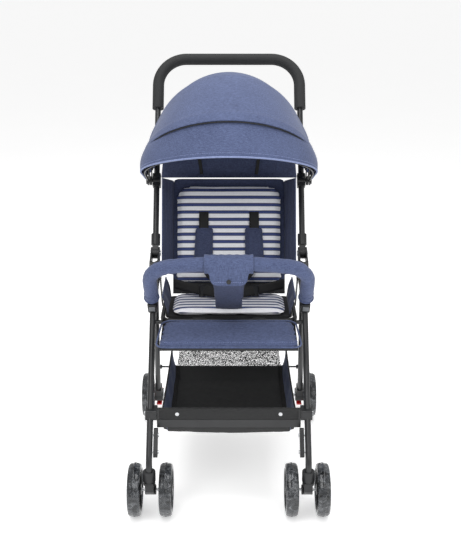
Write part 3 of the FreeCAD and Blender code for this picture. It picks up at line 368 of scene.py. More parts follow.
def thicken(piece, thick, offset=0.0, levels=1):
    """Cloth thickness and one subdivision, live to the end."""
    wall = piece.modifiers.new("thickness", "SOLIDIFY")
    wall.thickness = thick
    wall.offset = offset
    if levels:
        soft = piece.modifiers.new("smooth", "SUBSURF")
        soft.levels = levels
        soft.render_levels = levels
    return piece


def apply_all(piece):
    """Turns a piece's modifiers into its mesh."""
    graph = bpy.context.evaluated_depsgraph_get()
    baked = bpy.data.meshes.new_from_object(piece.evaluated_get(graph))
    piece.modifiers.clear()
    piece.data = baked
    for face in baked.polygons:
        face.use_smooth = True
    return piece


def curve_points(points, steps):
    """Smooth points through a few chosen ones."""
    points = [Vector(p) for p in points]
    out = []
    for i in range(len(points) - 1):
        p0 = points[max(i - 1, 0)]
        p1, p2 = points[i], points[i + 1]
        p3 = points[min(i + 2, len(points) - 1)]
        for k in range(steps):
            t = k / steps
            out.append(0.5 * (2 * p1 + (p2 - p0) * t + (2 * p0 - 5 * p1 + 4 * p2 - p3) * t * t
                              + (3 * p1 - p0 - 3 * p2 + p3) * t ** 3))
    return out + [points[-1]]


def cable(name, points, radius, material, body, closed=False, round_steps=3):
    """A round tube along points, for piping and bindings."""
    curve = bpy.data.curves.new(name, "CURVE")
    curve.dimensions = "3D"
    curve.bevel_depth = radius
    curve.bevel_resolution = round_steps
    curve.use_fill_caps = True
    line = curve.splines.new("POLY")
    line.points.add(len(points) - 1)
    for place, point in zip(line.points, points):
        place.co = (*point, 1.0)
    line.use_cyclic_u = closed
    holder = bpy.data.objects.new(name, curve)
    bpy.context.scene.collection.objects.link(holder)
    bpy.context.view_layer.update()
    data = bpy.data.meshes.new_from_object(holder.evaluated_get(bpy.context.evaluated_depsgraph_get()))
    bpy.data.objects.remove(holder)
    data.name = name
    data.materials.clear()
    data.materials.append(material)
    for face in data.polygons:
        face.use_smooth = True
    made = bpy.data.objects.new(name, data)
    bpy.context.scene.collection.objects.link(made)
    if body:
        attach(made, body)
    return made


def tape(name, points, side, width, material, body, thick=1.6 * MM):
    """Flat webbing along points; side is the direction of its width at each point."""
    route = curve_points(points, 8)
    count = len(route)

    def place(u, v):
        at = route[min(round(v * (count - 1)), count - 1)]
        return at + Vector(side) * ((u - 0.5) * width)
    mesh = grid(4, count - 1, place)
    made = thicken(keep(name, mesh, material, body), thick, levels=0)
    return made


def cushion(thick, place, square=6.0):
    """A closed crowned pad: place(u, v, t) gives a point, u and v from -1 to 1, t through its thickness."""
    mesh = bmesh.new()
    bmesh.ops.create_cube(mesh, size=1.0)
    sides = {axis: [e for e in mesh.edges
                    if abs((e.verts[0].co - e.verts[1].co)[axis]) > 0.5] for axis in range(3)}
    bmesh.ops.subdivide_edges(mesh, edges=sides[0] + sides[1], cuts=15, use_grid_fill=True)
    for vert in mesh.verts:
        u, v, t = vert.co.x * 2, vert.co.y * 2, vert.co.z * 2
        crown = ((1 - abs(u) ** square) * (1 - abs(v) ** square)) ** 0.4
        vert.co = place(u, v, t * (0.18 + 0.82 * crown) * thick / 2)
    bmesh.ops.remove_doubles(mesh, verts=mesh.verts, dist=0.01 * MM)
    bmesh.ops.recalc_face_normals(mesh, faces=mesh.faces)
    return mesh


def inflate(piece, voxel, cap, seed_frames=20):
    """Cloth simulation: the pad swells like stuffed cloth, and no point moves further than cap."""
    remesh = piece.modifiers.new("voxels", "REMESH")
    remesh.mode = "VOXEL"
    remesh.voxel_size = voxel
    apply_all(piece)
    before = [v.co.copy() for v in piece.data.vertices]
    cloth = piece.modifiers.new("cloth", "CLOTH")
    cloth.settings.use_pressure = True
    cloth.settings.uniform_pressure_force = 4.0
    cloth.settings.effector_weights.gravity = 0.0
    cloth.settings.tension_stiffness = 15.0
    cloth.settings.bending_stiffness = 0.5
    cloth.point_cache.frame_start = 1
    cloth.point_cache.frame_end = seed_frames
    for number in range(1, seed_frames + 1):
        bpy.context.scene.frame_set(number)
    apply_all(piece)
    bpy.context.scene.frame_set(1)
    for vert, old in zip(piece.data.vertices, before):
        step = vert.co - old
        if step.length > cap:
            vert.co = old + step.normalized() * cap
    soft = piece.modifiers.new("smooth", "SUBSURF")
    soft.levels = 1
    soft.render_levels = 1
    return apply_all(piece)


def press(piece, depth_at):
    """Pushes each point in along its normal by depth_at(point): sewn channels and borders."""
    data = piece.data
    normals = [v.normal.copy() for v in data.vertices]
    for vert, normal in zip(data.vertices, normals):
        vert.co -= normal * depth_at(vert.co)
    data.update()
    return piece


def dress(pad, depth_at, body, node):
    """Sews a pad's channels and hands it to its body in place of its CAD node."""
    press(pad, depth_at)
    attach(pad, body)
    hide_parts(node)


def groove(distance, half, depth):
    """Depth of a rounded sewn channel at a distance from its line."""
    return depth * math.exp(-(distance / half) ** 2)


def ripple(point, scale, size, seed):
    """Gentle cloth unevenness, the same on each run."""
    return noise.noise(point * scale + Vector((seed, 2 * seed, 3 * seed))) * size


# ---------------------------------------------------------------- places read from the frame
HOOD_PIVOT = Vector(JOINTS["canopy_fold"]["pos_m"])
BACK_HINGE = Vector(JOINTS["backrest_recline"]["pos_m"])
CALF_HINGE = Vector(JOINTS["calf_rest_tilt"]["pos_m"])
BUMPER_UP = Vector(JOINTS["bumper_pull"]["axis"]).normalized()
FRAME_X = JOINTS["caster_left_swivel"]["pos_m"][0]
LEAN = math.radians(20)
BACK_UP = Vector((0, math.sin(LEAN), math.cos(LEAN)))
BACK_AHEAD = Vector((0, -math.cos(LEAN), math.sin(LEAN)))
CALF_SLOPE = math.radians(10)
CALF_OUT = Vector((0, -math.cos(CALF_SLOPE), -math.sin(CALF_SLOPE)))
CALF_UP = Vector((0, -math.sin(CALF_SLOPE), math.cos(CALF_SLOPE)))
HOOD_LEG = 100 * MM
HOOD_START = 32 * MM


def on_back(x, up, ahead):
    """Point on the backrest: across, up from its hinge, and ahead of its board."""
    return BACK_HINGE + Vector((x, 0, 0)) + BACK_UP * up + BACK_AHEAD * ahead


def on_calf(x, out, up):
    return CALF_HINGE + Vector((x, 0, 0)) + CALF_OUT * out + CALF_UP * up


def on_hood(u, angle, half, lift=0.0):
    """Point on a hood arch turned forward of upright by an angle in degrees; u runs from hub to hub."""
    leg = HOOD_LEG - HOOD_START
    total = 2 * leg + math.pi * half
    s = u * total
    if s < leg:
        x, r = -half, HOOD_START + s
    elif s > total - leg:
        x, r = half, HOOD_START + total - s
    else:
        turn = (s - leg) / half
        x, r = -half * math.cos(turn), HOOD_LEG + half * math.sin(turn)
    a = math.radians(angle)
    out = Vector((x, -r * math.sin(a), r * math.cos(a)))
    if lift:
        level = max(0.0, (r - HOOD_LEG) / half)
        out += Vector((x / half, -math.sin(a) * level, math.cos(a) * level)) * lift
    return HOOD_PIVOT + out


def rounded(u, v, half_x, half_y, radius):
    """A point of a plate with rounded corners; u and v run from -1 to 1."""
    x, y = abs(u) * half_x, abs(v) * half_y
    dx, dy = (x - half_x + radius) / radius, (y - half_y + radius) / radius
    if dx > 0 and dy > 0:
        fit = max(dx, dy) / math.hypot(dx, dy)
        x, y = half_x - radius + dx * fit * radius, half_y - radius + dy * fit * radius
    return math.copysign(x, u), math.copysign(y, v)


def cloth(name, across, down, place, material, slot, body=None, held="stretched", rests_on=(),
          thick=1.4 * MM):
    """A sheet of cloth. Its cut size is measured, its longest row, its longest column and its area, but nothing
    uses it.
    """
    mesh = grid(across, down, place)
    area = sum(face.calc_area() for face in mesh.faces)

    def run(points):
        return sum((b - a).length for a, b in zip(points, points[1:]))
    rows = [[place(i / across, j / down) for i in range(across + 1)] for j in range(down + 1)]
    wide = max(run(row) for row in rows)
    long = max(run(column) for column in zip(*rows))
    made = thicken(keep(name, mesh, material, body), thick)
    list(rests_on)
    return made


def disc_piece(name, centre, axis, radius, thick, material, body):
    """A small turned button with a rounded edge and a dished face."""
    mesh = bmesh.new()
    bmesh.ops.create_circle(mesh, cap_ends=True, radius=radius, segments=32)
    face = mesh.faces[:]
    out = bmesh.ops.extrude_face_region(mesh, geom=face)
    top = [v for v in out["geom"] if isinstance(v, bmesh.types.BMVert)]
    bmesh.ops.translate(mesh, verts=top, vec=(0, 0, thick))
    cap = [f for f in mesh.faces if all(v in top for v in f.verts)]
    bmesh.ops.inset_region(mesh, faces=cap, thickness=radius * 0.25, depth=-thick * 0.3)
    rim = [e for e in mesh.edges if abs(e.verts[0].co.length - e.verts[1].co.length) < 1e-6
           and min(math.hypot(*v.co.xy) for v in e.verts) > radius * 0.99]
    bmesh.ops.bevel(mesh, geom=rim, offset=thick * 0.25, affect="EDGES", segments=3, profile=0.5, material=-1)
    bmesh.ops.recalc_face_normals(mesh, faces=mesh.faces)
    turn = Vector((0, 0, 1)).rotation_difference(Vector(axis)).to_matrix().to_4x4()
    bmesh.ops.transform(mesh, matrix=Matrix.Translation(centre) @ turn, verts=mesh.verts)
    made = keep(name, mesh, material, body, smooth=False)
    return made


def stitches(name, route, body, pitch=4.2 * MM, size=(2.8 * MM, 0.7 * MM, 0.7 * MM)):
    """A row of thread stitches along a route of points."""
    mesh = bmesh.new()
    due = 0.0
    for a, b in zip(route, route[1:]):
        a, b = Vector(a), Vector(b)
        step = (b - a).length
        while due < step:
            turn = (b - a).to_track_quat("X", "Z").to_matrix().to_4x4()
            scale = Matrix.Diagonal((*size, 1.0))
            at = Matrix.Translation(a.lerp(b, due / step))
            bmesh.ops.create_cube(mesh, size=1.0, matrix=at @ turn @ scale)
            due += pitch
        due -= step
    made = keep(name, mesh, LOOKS["thread"], body, smooth=False)
    return made


# ---------------------------------------------------------------- the hood
REAR_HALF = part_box("canopy_rear_panel")[1][0]
MAIN_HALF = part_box("canopy_main_panel")[1][0]
VISOR_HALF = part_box("canopy_visor_panel")[1][0]
CURTAIN_ANGLE = -22.0
REAR_BOW, MIDDLE_BOW, FRONT_BOW = 16.0, 50.4, 67.6
HEM = 4.6                         # degrees of the double hem at the middle bow


def sag(v, depth):
    """Cloth between two bows lies a little inside them."""
    return -depth * math.sin(math.pi * v)


def hood_sheet(name, half, low, high, shape, node, rows):
    """One panel of the hood, from angle low to angle high; shape(u, v) is its lift off the arch."""
    def place(u, v):
        return on_hood(u, low + (high - low) * v, half, shape(u, v))
    made = cloth(name, 96, rows, place, LOOKS["denim"], "denim", rests_on=["canopy_bow_middle"])
    apply_all(made)
    inset = (high - low) * 0.06
    on_hood(0.5, low + inset, half)
    on_hood(0.5, high - inset, half)
    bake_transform(made)
    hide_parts(node)
    return made


def side_pull(u, v, size):
    """Faint tension folds that fan out from the hubs."""
    near = max(0.0, 1 - min(u, 1 - u) / 0.3)
    return size * near * math.sin(v * 9.0 + 14.0 * min(u, 1 - u)) * math.sin(math.pi * v)


def tuck(u):
    """The rear bow's arch is smaller than the others', but meets the same hubs."""
    rise = min(1.0, max(0.0, (min(u, 1 - u) - 0.05) / 0.16))
    return -19 * MM * rise * rise * (3 - 2 * rise)


def rear_lift(u, v):
    return sag(v, 4 * MM) - 0.8 * MM + tuck(u) + side_pull(u, v, 2.0 * MM)


def main_lift(u, v):
    hem_start = 1 - HEM / (MIDDLE_BOW + 2.2 - REAR_BOW)
    climb = 7.0 * MM * min(1.0, v / hem_start) ** 3 * min(1.0, min(u, 1 - u) / 0.06)
    hem = 1.4 * MM if v > hem_start else 0.0
    return sag(v, 5 * MM) + hem + climb + tuck(u) * (1 - v) ** 1.2 + side_pull(u, v, 2.6 * MM)


def visor_lift(u, v):
    side = math.exp(-((min(u, 1 - u) - 0.17) / 0.11) ** 2)
    bulge = 13 * MM * side * math.sin(math.pi * min(0.85, 0.1 + 0.7 * v))
    return sag(v, 2.0 * MM) - 3.0 * MM * (1 - v) + bulge


def curtain_place(u, v):
    """The curtain hangs from the hood's rear edge down behind the backrest."""
    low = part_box("rear_curtain")[0]
    across = 0.2 + 0.6 * u
    top = on_hood(across, CURTAIN_ANGLE, REAR_HALF, tuck(across) - 2 * MM)
    foot = Vector(((u - 0.5) * 0.364, low[1] + 2 * MM, low[2] + 2.5 * MM))
    point = top.lerp(foot, v)
    folds = math.sin(u * 34.0 + 3.0 * v) * 2.2 * MM * math.sin(math.pi * min(1, 0.15 + v)) * (0.3 + v * 0.7)
    return point + Vector((0, folds, 0))


def make_hood():
    hood_sheet("hood_rear_panel", REAR_HALF, CURTAIN_ANGLE, REAR_BOW + 0.8, rear_lift,
               "canopy_rear_panel", 28)
    hood_sheet("hood_main_panel", MAIN_HALF, REAR_BOW - 0.8, MIDDLE_BOW + 2.2, main_lift,
               "canopy_main_panel", 32)
    hood_sheet("hood_visor", VISOR_HALF, MIDDLE_BOW - 0.6, FRONT_BOW + 0.6, visor_lift,
               "canopy_visor_panel", 20)
    piping = bpy.context.scene.stroller_cloth.piping
    edges = (("visor_piping", VISOR_HALF, FRONT_BOW + 0.7, "visor",
              lambda u: visor_lift(u, 1.0), 1.0, "piping"),
             ("hood_seam", REAR_HALF, REAR_BOW, "canopy_rear",
              lambda u: tuck(u) + 0.6 * MM, 0.5, "denim"),
             # A thin black cable under the main panel's hem lip: a painted shadow line below the hem.
             ("hood_hem_painted_shadow", MAIN_HALF, MIDDLE_BOW + 2.5, "canopy_middle",
              lambda u: main_lift(u, 1.0) - 2.2 * MM, 0.6, "basket_cloth"),
             ("hood_rear_piping", REAR_HALF, CURTAIN_ANGLE - 0.3, "handle",
              lambda u: tuck(u) - 0.5 * MM, 0.7, "denim"))
    for name, half, angle, body, lift, share, look in edges:
        route = [on_hood(k / 120, angle, half, lift(k / 120)) for k in range(121)]
        cable(name, route, piping * share, LOOKS[look], body)
    route = [on_hood(k / 60, FRONT_BOW - 1.1, VISOR_HALF, visor_lift(k / 60, 0.93) + 0.9 * MM)
             for k in range(61)]
    stitches("visor_stitching", route, "visor")
    turn = math.radians(REAR_BOW)
    strip = [on_hood(k / 60, REAR_BOW, REAR_HALF, tuck(k / 60) - 2.6 * MM) for k in range(61)]
    made = tape("hood_bow_rear", strip, (0, -math.cos(turn), -math.sin(turn)), 9 * MM, LOOKS["frame_paint"],
                "canopy_rear", 2.6 * MM)
    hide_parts("canopy_bow_rear")
    for side, sign in SIDES:
        hub = HOOD_PIVOT + Vector((sign * (REAR_HALF + 0.4 * MM), 0, 0))
        disc_piece(f"hood_hub_{side}", hub, (sign, 0, 0), 12 * MM, 2.6 * MM, LOOKS["black_plastic"],
                   "canopy_rear")
        root = [HOOD_PIVOT + Vector((sign * (REAR_HALF + 0.4 * MM), 0, 0))
                + Vector((0, -math.sin(turn), math.cos(turn))) * (k * 6 * MM) for k in range(8)]
        tape(f"hood_bow_root_{side}", root, (0, -math.cos(turn), -math.sin(turn)), 9 * MM,
             LOOKS["frame_paint"], "canopy_rear", 2.6 * MM)


def make_curtain():
    made = cloth("rear_curtain_cloth", 60, 36, curtain_place, LOOKS["lining"], "denim", "handle", "hung",
                 ["hood_rear_panel"])
    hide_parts("rear_curtain")
    for side, sign in SIDES:
        route = [curtain_place(0.5 + sign * (0.27 - 0.07 * k / 6), 0.06 + 0.9 * k / 6)
                 - Vector((0, 2.5 * MM, 0)) for k in range(7)]
        tape(f"curtain_tape_{side}", route, (1, 0, 0), 9 * MM, LOOKS["webbing"], "handle", 1.2 * MM)


# ---------------------------------------------------------------- backrest, wings and harness
BACK_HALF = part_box("backrest_pad")[1][0]
BACK_LOW, BACK_HIGH = 34 * MM, 305 * MM
WING_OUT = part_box("side_wings")[1][0]
WING_LOW, WING_DEEP = 62 * MM, 72 * MM
PAD_IN, PAD_OUT = 40 * MM, 92 * MM
PAD_LOW, PAD_HIGH = 90 * MM, 186 * MM
SLOT_UP = 228 * MM
COVER_TOP = 318 * MM              # the backrest's cover ends just below the curtain


def make_backrest():
    cloths = bpy.context.scene.stroller_cloth
    middle, half = (BACK_HIGH + BACK_LOW) / 2, (BACK_HIGH - BACK_LOW) / 2 - 4 * MM

    def place(u, v, t):
        x, up = rounded(u, v, BACK_HALF - 5 * MM, half, 42 * MM if v > 0 else 14 * MM)
        return on_back(x, middle + up, 14.5 * MM + t)
    pad = keep("backrest_cushion", cushion(17 * MM, place), LOOKS["stripe_cloth"], None)
    inflate(pad, 4.5 * MM, 0.5 * cloths.swell)

    def channel(point):
        local = point - BACK_HINGE
        x, up = abs(local.x), local.dot(BACK_UP)
        edge = min(BACK_HALF - 14 * MM - x, BACK_HIGH - 20 * MM - up)
        facing = 1.0 if local.dot(BACK_AHEAD) > 13 * MM else 0.0
        slot = groove(up - SLOT_UP, 5 * MM, 2.5 * MM) if abs(x - 68 * MM) < 18 * MM else 0.0
        return facing * (groove(edge, 2.2 * MM, 1.2 * MM) + slot) + ripple(point, 18.0, 1.2 * MM, 3.0)
    dress(pad, channel, "backrest", "backrest_pad")

    def cover_at(u, v):
        return on_back((2 * u - 1) * (BACK_HALF + 1 * MM), 40 * MM + (COVER_TOP - 40 * MM) * v, 4.2 * MM)
    cloth("backrest_cover", 12, 12, cover_at, LOOKS["lining"], "denim", "backrest", "stretched",
          ["backrest_board"], 1 * MM)
    for side, sign in SIDES:
        def wing(u, v, sign=sign):
            up = WING_LOW + (COVER_TOP - 6 * MM - 2 * MM * u - WING_LOW) * v
            out = BACK_HALF - 1 * MM + (WING_OUT - BACK_HALF - 1 * MM) * u ** 1.2
            wave = math.sin(u * 21.0 + 2.0 * math.sin(v * 5.0))
            fold = 3.2 * MM * wave * math.sin(math.pi * u) * (1 - 0.4 * v)
            return on_back(sign * (out + fold * 0.6), up, 4 * MM + (WING_DEEP - 5 * MM) * u + fold)
        made = cloth(f"side_wing_{side}", 40, 36, wing, LOOKS["lining"], "denim", "backrest", "stretched",
                     ["backrest_cushion"])
        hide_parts("side_wings")
        cable(f"wing_piping_{side}", [wing(1.0, k / 30) for k in range(31)], cloths.piping * 0.8,
              LOOKS["denim"], "backrest")


def make_harness():
    for side, sign in SIDES:
        def place(u, v, t, sign=sign):
            mid = (PAD_IN + PAD_OUT) / 2 - 1.5 * MM * v
            x, up = rounded(u, v, (PAD_OUT - PAD_IN) / 2 - 1 * MM, (PAD_HIGH - PAD_LOW) / 2, 9 * MM)
            x *= 1.0 - 0.05 * v
            return on_back(sign * (mid + x), (PAD_LOW + PAD_HIGH) / 2 + up, 31.5 * MM + t)
        pad = keep(f"shoulder_pad_{side}", cushion(8.5 * MM, place, 8.0), LOOKS["lining"], None)
        inflate(pad, 2.5 * MM, 1.5 * MM, 10)

        def border(point, sign=sign):
            local = point - BACK_HINGE
            x = abs(abs(local.x) - (PAD_IN + PAD_OUT) / 2)
            up = abs(local.dot(BACK_UP) - (PAD_LOW + PAD_HIGH) / 2)
            edge = min((PAD_OUT - PAD_IN) / 2 - x, (PAD_HIGH - PAD_LOW) / 2 - up) - 6 * MM
            return groove(edge, 1.6 * MM, 1.1 * MM)
        dress(pad, border, "backrest", "shoulder_pads")
        mid = sign * (PAD_IN + PAD_OUT) / 2
        upper = [on_back(mid, up, ahead) for up, ahead in
                 ((PAD_HIGH - 8 * MM, 33 * MM), (205 * MM, 31 * MM), (222 * MM, 28 * MM), (SLOT_UP, 23 * MM))]
        made = tape(f"shoulder_strap_{side}", upper, (1, 0, 0), 25 * MM, LOOKS["webbing"], "backrest")
        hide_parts("harness_straps")
        lower = [on_back(mid, PAD_LOW + 8 * MM, 32 * MM), on_back(mid * 0.8, 62 * MM, 40 * MM),
                 on_back(mid * 0.5, 40 * MM, 66 * MM), Vector((mid * 0.3, -0.006, 0.492))]
        tape(f"shoulder_strap_lower_{side}", lower, (1, 0, 0), 22 * MM, LOOKS["webbing"], "backrest")
        hip = [Vector((sign * x * MM, y * MM, z * MM)) for x, y, z in
               ((141, 38, 486), (112, 26, 482), (72, 10, 478), (40, -2, 476), (22, -8, 476))]
        tape(f"lap_belt_{side}", hip, (0, 0.25, 0.97), 25 * MM, LOOKS["webbing"], "backrest")
        mesh = bmesh.new()
        bmesh.ops.create_cube(mesh, size=1.0)
        bmesh.ops.scale(mesh, vec=(22 * MM, 5 * MM, 31 * MM), verts=mesh.verts)
        sides = [f for f in mesh.faces if abs(f.normal.y) > 0.9]
        bmesh.ops.inset_individual(mesh, faces=sides, thickness=4.5 * MM, depth=-1.4 * MM)
        bmesh.ops.bevel(mesh, geom=mesh.edges[:], offset=0.9 * MM, affect="EDGES", segments=2, profile=0.5,
                        material=-1)
        turn = Matrix.Rotation(math.radians(-24 * sign), 4, "Z")
        bmesh.ops.transform(mesh, matrix=Matrix.Translation((sign * 66 * MM, 0.006, 0.478)) @ turn,
                            verts=mesh.verts)
        made = keep(f"belt_slider_{side}", mesh, LOOKS["black_plastic"], "backrest", smooth=False)
        for name, up in (("slot_trim", SLOT_UP + 3 * MM), ("slot_trim_low", SLOT_UP - 26 * MM)):
            route = [on_back(sign * (68 * MM + 16 * MM * math.cos(a)), up + 3.4 * MM * math.sin(a), 23.4 * MM)
                     for a in [2 * math.pi * k / 24 for k in range(24)]]
            cable(f"{name}_{side}", route, 1.1 * MM, LOOKS["webbing"], "backrest", closed=True)


def make_crotch_strap():
    low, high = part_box("crotch_strap")
    foot = Vector((0, high[1], low[2] + 3 * MM))
    top = Vector((0, low[1], high[2]))
    along = (top - foot).normalized()
    out = Vector((0, -along.z, along.y))

    def place(u, v, t):
        k = (v + 1) / 2
        at = foot.lerp(top, k) + out * (2 * MM + 3 * MM * math.sin(math.pi * k))
        half = (33 + 7 * k) * MM
        return at + Vector((u * half, 0, 0)) + out * t
    pad = keep("crotch_pad", cushion(7 * MM, place, 12.0), LOOKS["lining"], None)
    inflate(pad, 3 * MM, 1.5 * MM, 10)

    def border(point):
        k = (point - foot).dot(along) / (top - foot).length
        x = (33 + 7 * k) * MM - abs(point.x)
        return groove(x - 5 * MM, 1.3 * MM, 1.0 * MM) + groove(x - 9 * MM, 1.3 * MM, 0.8 * MM) \
            + ripple(point, 30.0, 0.8 * MM, 7.0)
    dress(pad, border, "front_frame", "crotch_strap")


# ---------------------------------------------------------------- seat and calf rest
def make_seat():
    cloths = bpy.context.scene.stroller_cloth
    low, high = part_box("seat_pad")
    middle = (Vector(low) + Vector(high)) / 2

    def place(u, v, t):
        x, y = rounded(u, v, high[0] - 4 * MM, (high[1] - low[1]) / 2 - 4 * MM, 22 * MM)
        return Vector((x, middle.y + y, middle.z + t))
    pad = keep("seat_cushion", cushion(13 * MM, place), LOOKS["stripe_flat"], None)
    inflate(pad, 4 * MM, 0.4 * cloths.swell)
    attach(pad, "front_frame")
    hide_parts("seat_pad")
    for side, sign in SIDES:
        def flank(u, v, sign=sign):
            y = -78 * MM + 140 * MM * u
            fold = 1.8 * MM * math.sin(u * 15.0 + v * 3.0) * math.sin(math.pi * v)
            z = (444 + 52 * v - 8 * v * (1 - u)) * MM
            return Vector((sign * (151 * MM + 13 * MM * v ** 1.5 + fold), y, z))
        cloth(f"seat_side_{side}", 36, 14, flank, LOOKS["lining"], "denim", "front_frame", "stretched",
              ["seat_cushion"])
        cable(f"seat_side_piping_{side}", [flank(k / 30, 1.0) for k in range(31)], cloths.piping * 0.8,
              LOOKS["denim"], "front_frame")


CALF_START, CALF_END = 17 * MM, 140 * MM
CALF_MIDDLE = 78.5 * MM
CALF_REAR_HALF, CALF_FRONT_HALF = 163 * MM, 172 * MM


def calf_outline(u, v):
    """Outline of the calf rest: wider at its front, with rounded corners."""
    k = (v + 1) / 2
    half = CALF_REAR_HALF + (CALF_FRONT_HALF - CALF_REAR_HALF) * k
    x, out = rounded(u, v, half, (CALF_END - CALF_START) / 2, 20 * MM)
    return x, (CALF_START + CALF_END) / 2 + out


def make_calf_rest():
    cloths = bpy.context.scene.stroller_cloth

    def place(u, v, t):
        x, out = calf_outline(u * 0.985, v * 0.97)
        return on_calf(x, out, 9.5 * MM + t)
    pad = keep("calf_cushion", cushion(12 * MM, place, 10.0), LOOKS["denim"], None)
    inflate(pad, 4 * MM, 0.35 * cloths.swell)

    def border(point):
        local = point - CALF_HINGE
        x, out = abs(local.x), local.dot(CALF_OUT)
        edge = min(CALF_REAR_HALF + 4 * MM - x, CALF_END - out, out - CALF_START)
        top = 1.0 if local.dot(CALF_UP) > 8 * MM else 0.0
        return top * groove(edge - 11 * MM, 2.0 * MM, 1.5 * MM) + ripple(point, 16.0, 1.0 * MM, 11.0)
    dress(pad, border, "calf_rest", "calf_pad")
    border_route = []
    corners = ((-1, -1), (1, -1), (1, 1), (-1, 1))
    for (u, v), (next_u, next_v) in zip(corners, corners[1:] + corners[:1]):
        for k in range(30):
            s = k / 30
            x, out = calf_outline(u + (next_u - u) * s, v + (next_v - v) * s)
            border_route.append(on_calf(x, out, 10 * MM))
    cable("calf_piping", border_route, cloths.piping, LOOKS["denim"], "calf_rest", closed=True)
    inner = []
    for k in range(41):
        x, out = calf_outline(-1 + k / 20, 1)
        inner.append(on_calf(x * 0.93, CALF_MIDDLE + (out - CALF_MIDDLE) * 0.82, 16.0 * MM))
    stitches("calf_stitching", inner, "calf_rest")


# ---------------------------------------------------------------- bumper bar
BUMPER_MOUTH = Vector((FRAME_X, -97 * MM, 488 * MM))
BUMPER_REACH = 151.8 * MM
BUMPER_BEND = 62 * MM
BUMPER_SHOULDER = 143.1 * MM
BUMPER_R = 17.0 * MM


def on_bumper(x, along):
    """Point on the bar's middle line: across, and up from its sockets."""
    return Vector((x, BUMPER_MOUTH.y, BUMPER_MOUTH.z)) + BUMPER_UP * along


def bumper_route():
    half = FRAME_X - BUMPER_BEND
    rise = BUMPER_REACH + 2 * MM - BUMPER_SHOULDER
    leg = [(FRAME_X, (11 + 7.0 * k) * MM) for k in range(10)]
    arc = [(half + BUMPER_BEND * math.cos(a), BUMPER_SHOULDER - BUMPER_BEND + BUMPER_BEND * math.sin(a))
           for a in [math.radians(5 * k) for k in range(1, 18)]]
    right = [(half * (1 - k / 20), BUMPER_SHOULDER + rise * (1 - (1 - k / 20) ** 2)) for k in range(21)]
    whole = leg + arc + right
    return [on_bumper(x, s) for x, s in whole] + [on_bumper(-x, s) for x, s in reversed(whole[:-1])]


def make_bumper():
    cover = cable("bumper_cover", bumper_route(), BUMPER_R, LOOKS["denim"], None, round_steps=9)
    turns = [on_bumper(sign * (FRAME_X - 18 * MM), BUMPER_SHOULDER - 18 * MM) for _, sign in SIDES]

    def creases(point):
        near = min((point - turn).length for turn in turns)
        pleat = math.sin((point - BUMPER_MOUTH).dot(BUMPER_UP) * 420.0 + point.x * 160.0)
        return math.exp(-(near / (45 * MM)) ** 2) * 1.1 * MM * pleat + ripple(point, 40.0, 0.9 * MM, 5.0)
    cover.data.update()
    dress(cover, creases, "bumper", "bumper_pad")
    across = BUMPER_UP.cross(Vector((1, 0, 0)))
    for side, sign in SIDES:
        for name, up, radius in (("bumper_hem", 12 * MM, 2.2 * MM), ("bumper_hem_upper", 30 * MM, 0.8 * MM)):
            ring = [on_bumper(sign * FRAME_X + (BUMPER_R + 0.2 * MM) * math.cos(a), up)
                    + across * (BUMPER_R + 0.2 * MM) * math.sin(a)
                    for a in [2 * math.pi * k / 40 for k in range(40)]]
            cable(f"{name}_{side}", ring, radius, LOOKS["denim"], "bumper", closed=True)
    middle = on_bumper(0, BUMPER_REACH)
    radius, wrap, drop = 21.4 * MM, 0.80, 45 * MM

    def cuff(u, v):
        if v < wrap:
            turn = math.radians(-165 + 345 * v / wrap)
            half, y, z = 57 * MM, radius * math.cos(turn), radius * math.sin(turn)
            bulge = 0.9 * MM * math.sin(u * 40.0) * math.sin(math.pi * v / wrap)
            y, z = y * (1 + bulge / radius), z * (1 + bulge / radius)
        else:
            q = (v - wrap) / (1 - wrap)
            end = max(0.0, (q - 0.55) / 0.45)
            half = (57 - 14 * min(1.0, q * 2.2)) * MM * (0.62 + 0.38 * math.sqrt(max(0.0, 1 - end ** 2)))
            y, z = -radius - 0.8 * MM, -drop * q
        return middle + Vector(((2 * u - 1) * half, y, z))
    made = cloth("bumper_cuff_cloth", 30, 60, cuff, LOOKS["denim"], "denim", "bumper", "folded",
                 ["bumper_cover"], 1.8 * MM)
    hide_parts("bumper_cuff")
    edge = [cuff(u, 1.0) for u in [k / 30 for k in range(31)]]
    sides = [cuff(0.0, wrap + (1 - wrap) * k / 10) for k in range(10)]
    other = [cuff(1.0, 1.0 - (1 - wrap) * k / 10) for k in range(1, 11)]
    cable("cuff_piping", sides + edge + other, 1.3 * MM, LOOKS["denim"], "bumper")
    inner = [cuff(0.5 + (u - 0.5) * 0.8, 0.965) - Vector((0, 1.3 * MM, 0))
             for u in [k / 20 for k in range(21)]]
    stitches("cuff_stitching", inner, "bumper")
    snap = middle + Vector((0, -radius - 1.6 * MM, -36 * MM))
    disc_piece("cuff_snap", snap, (0, -1, 0), 5.5 * MM, 2.4 * MM, LOOKS["black_plastic"], "bumper")


# ---------------------------------------------------------------- basket
BASKET_LOW, BASKET_HIGH = (Vector(c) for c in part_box("basket"))
CROSSBAR_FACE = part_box("crossbar")[0][1]
CROSSBAR_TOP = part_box("crossbar")[1][2]
FLOOR_HALF = 150 * MM


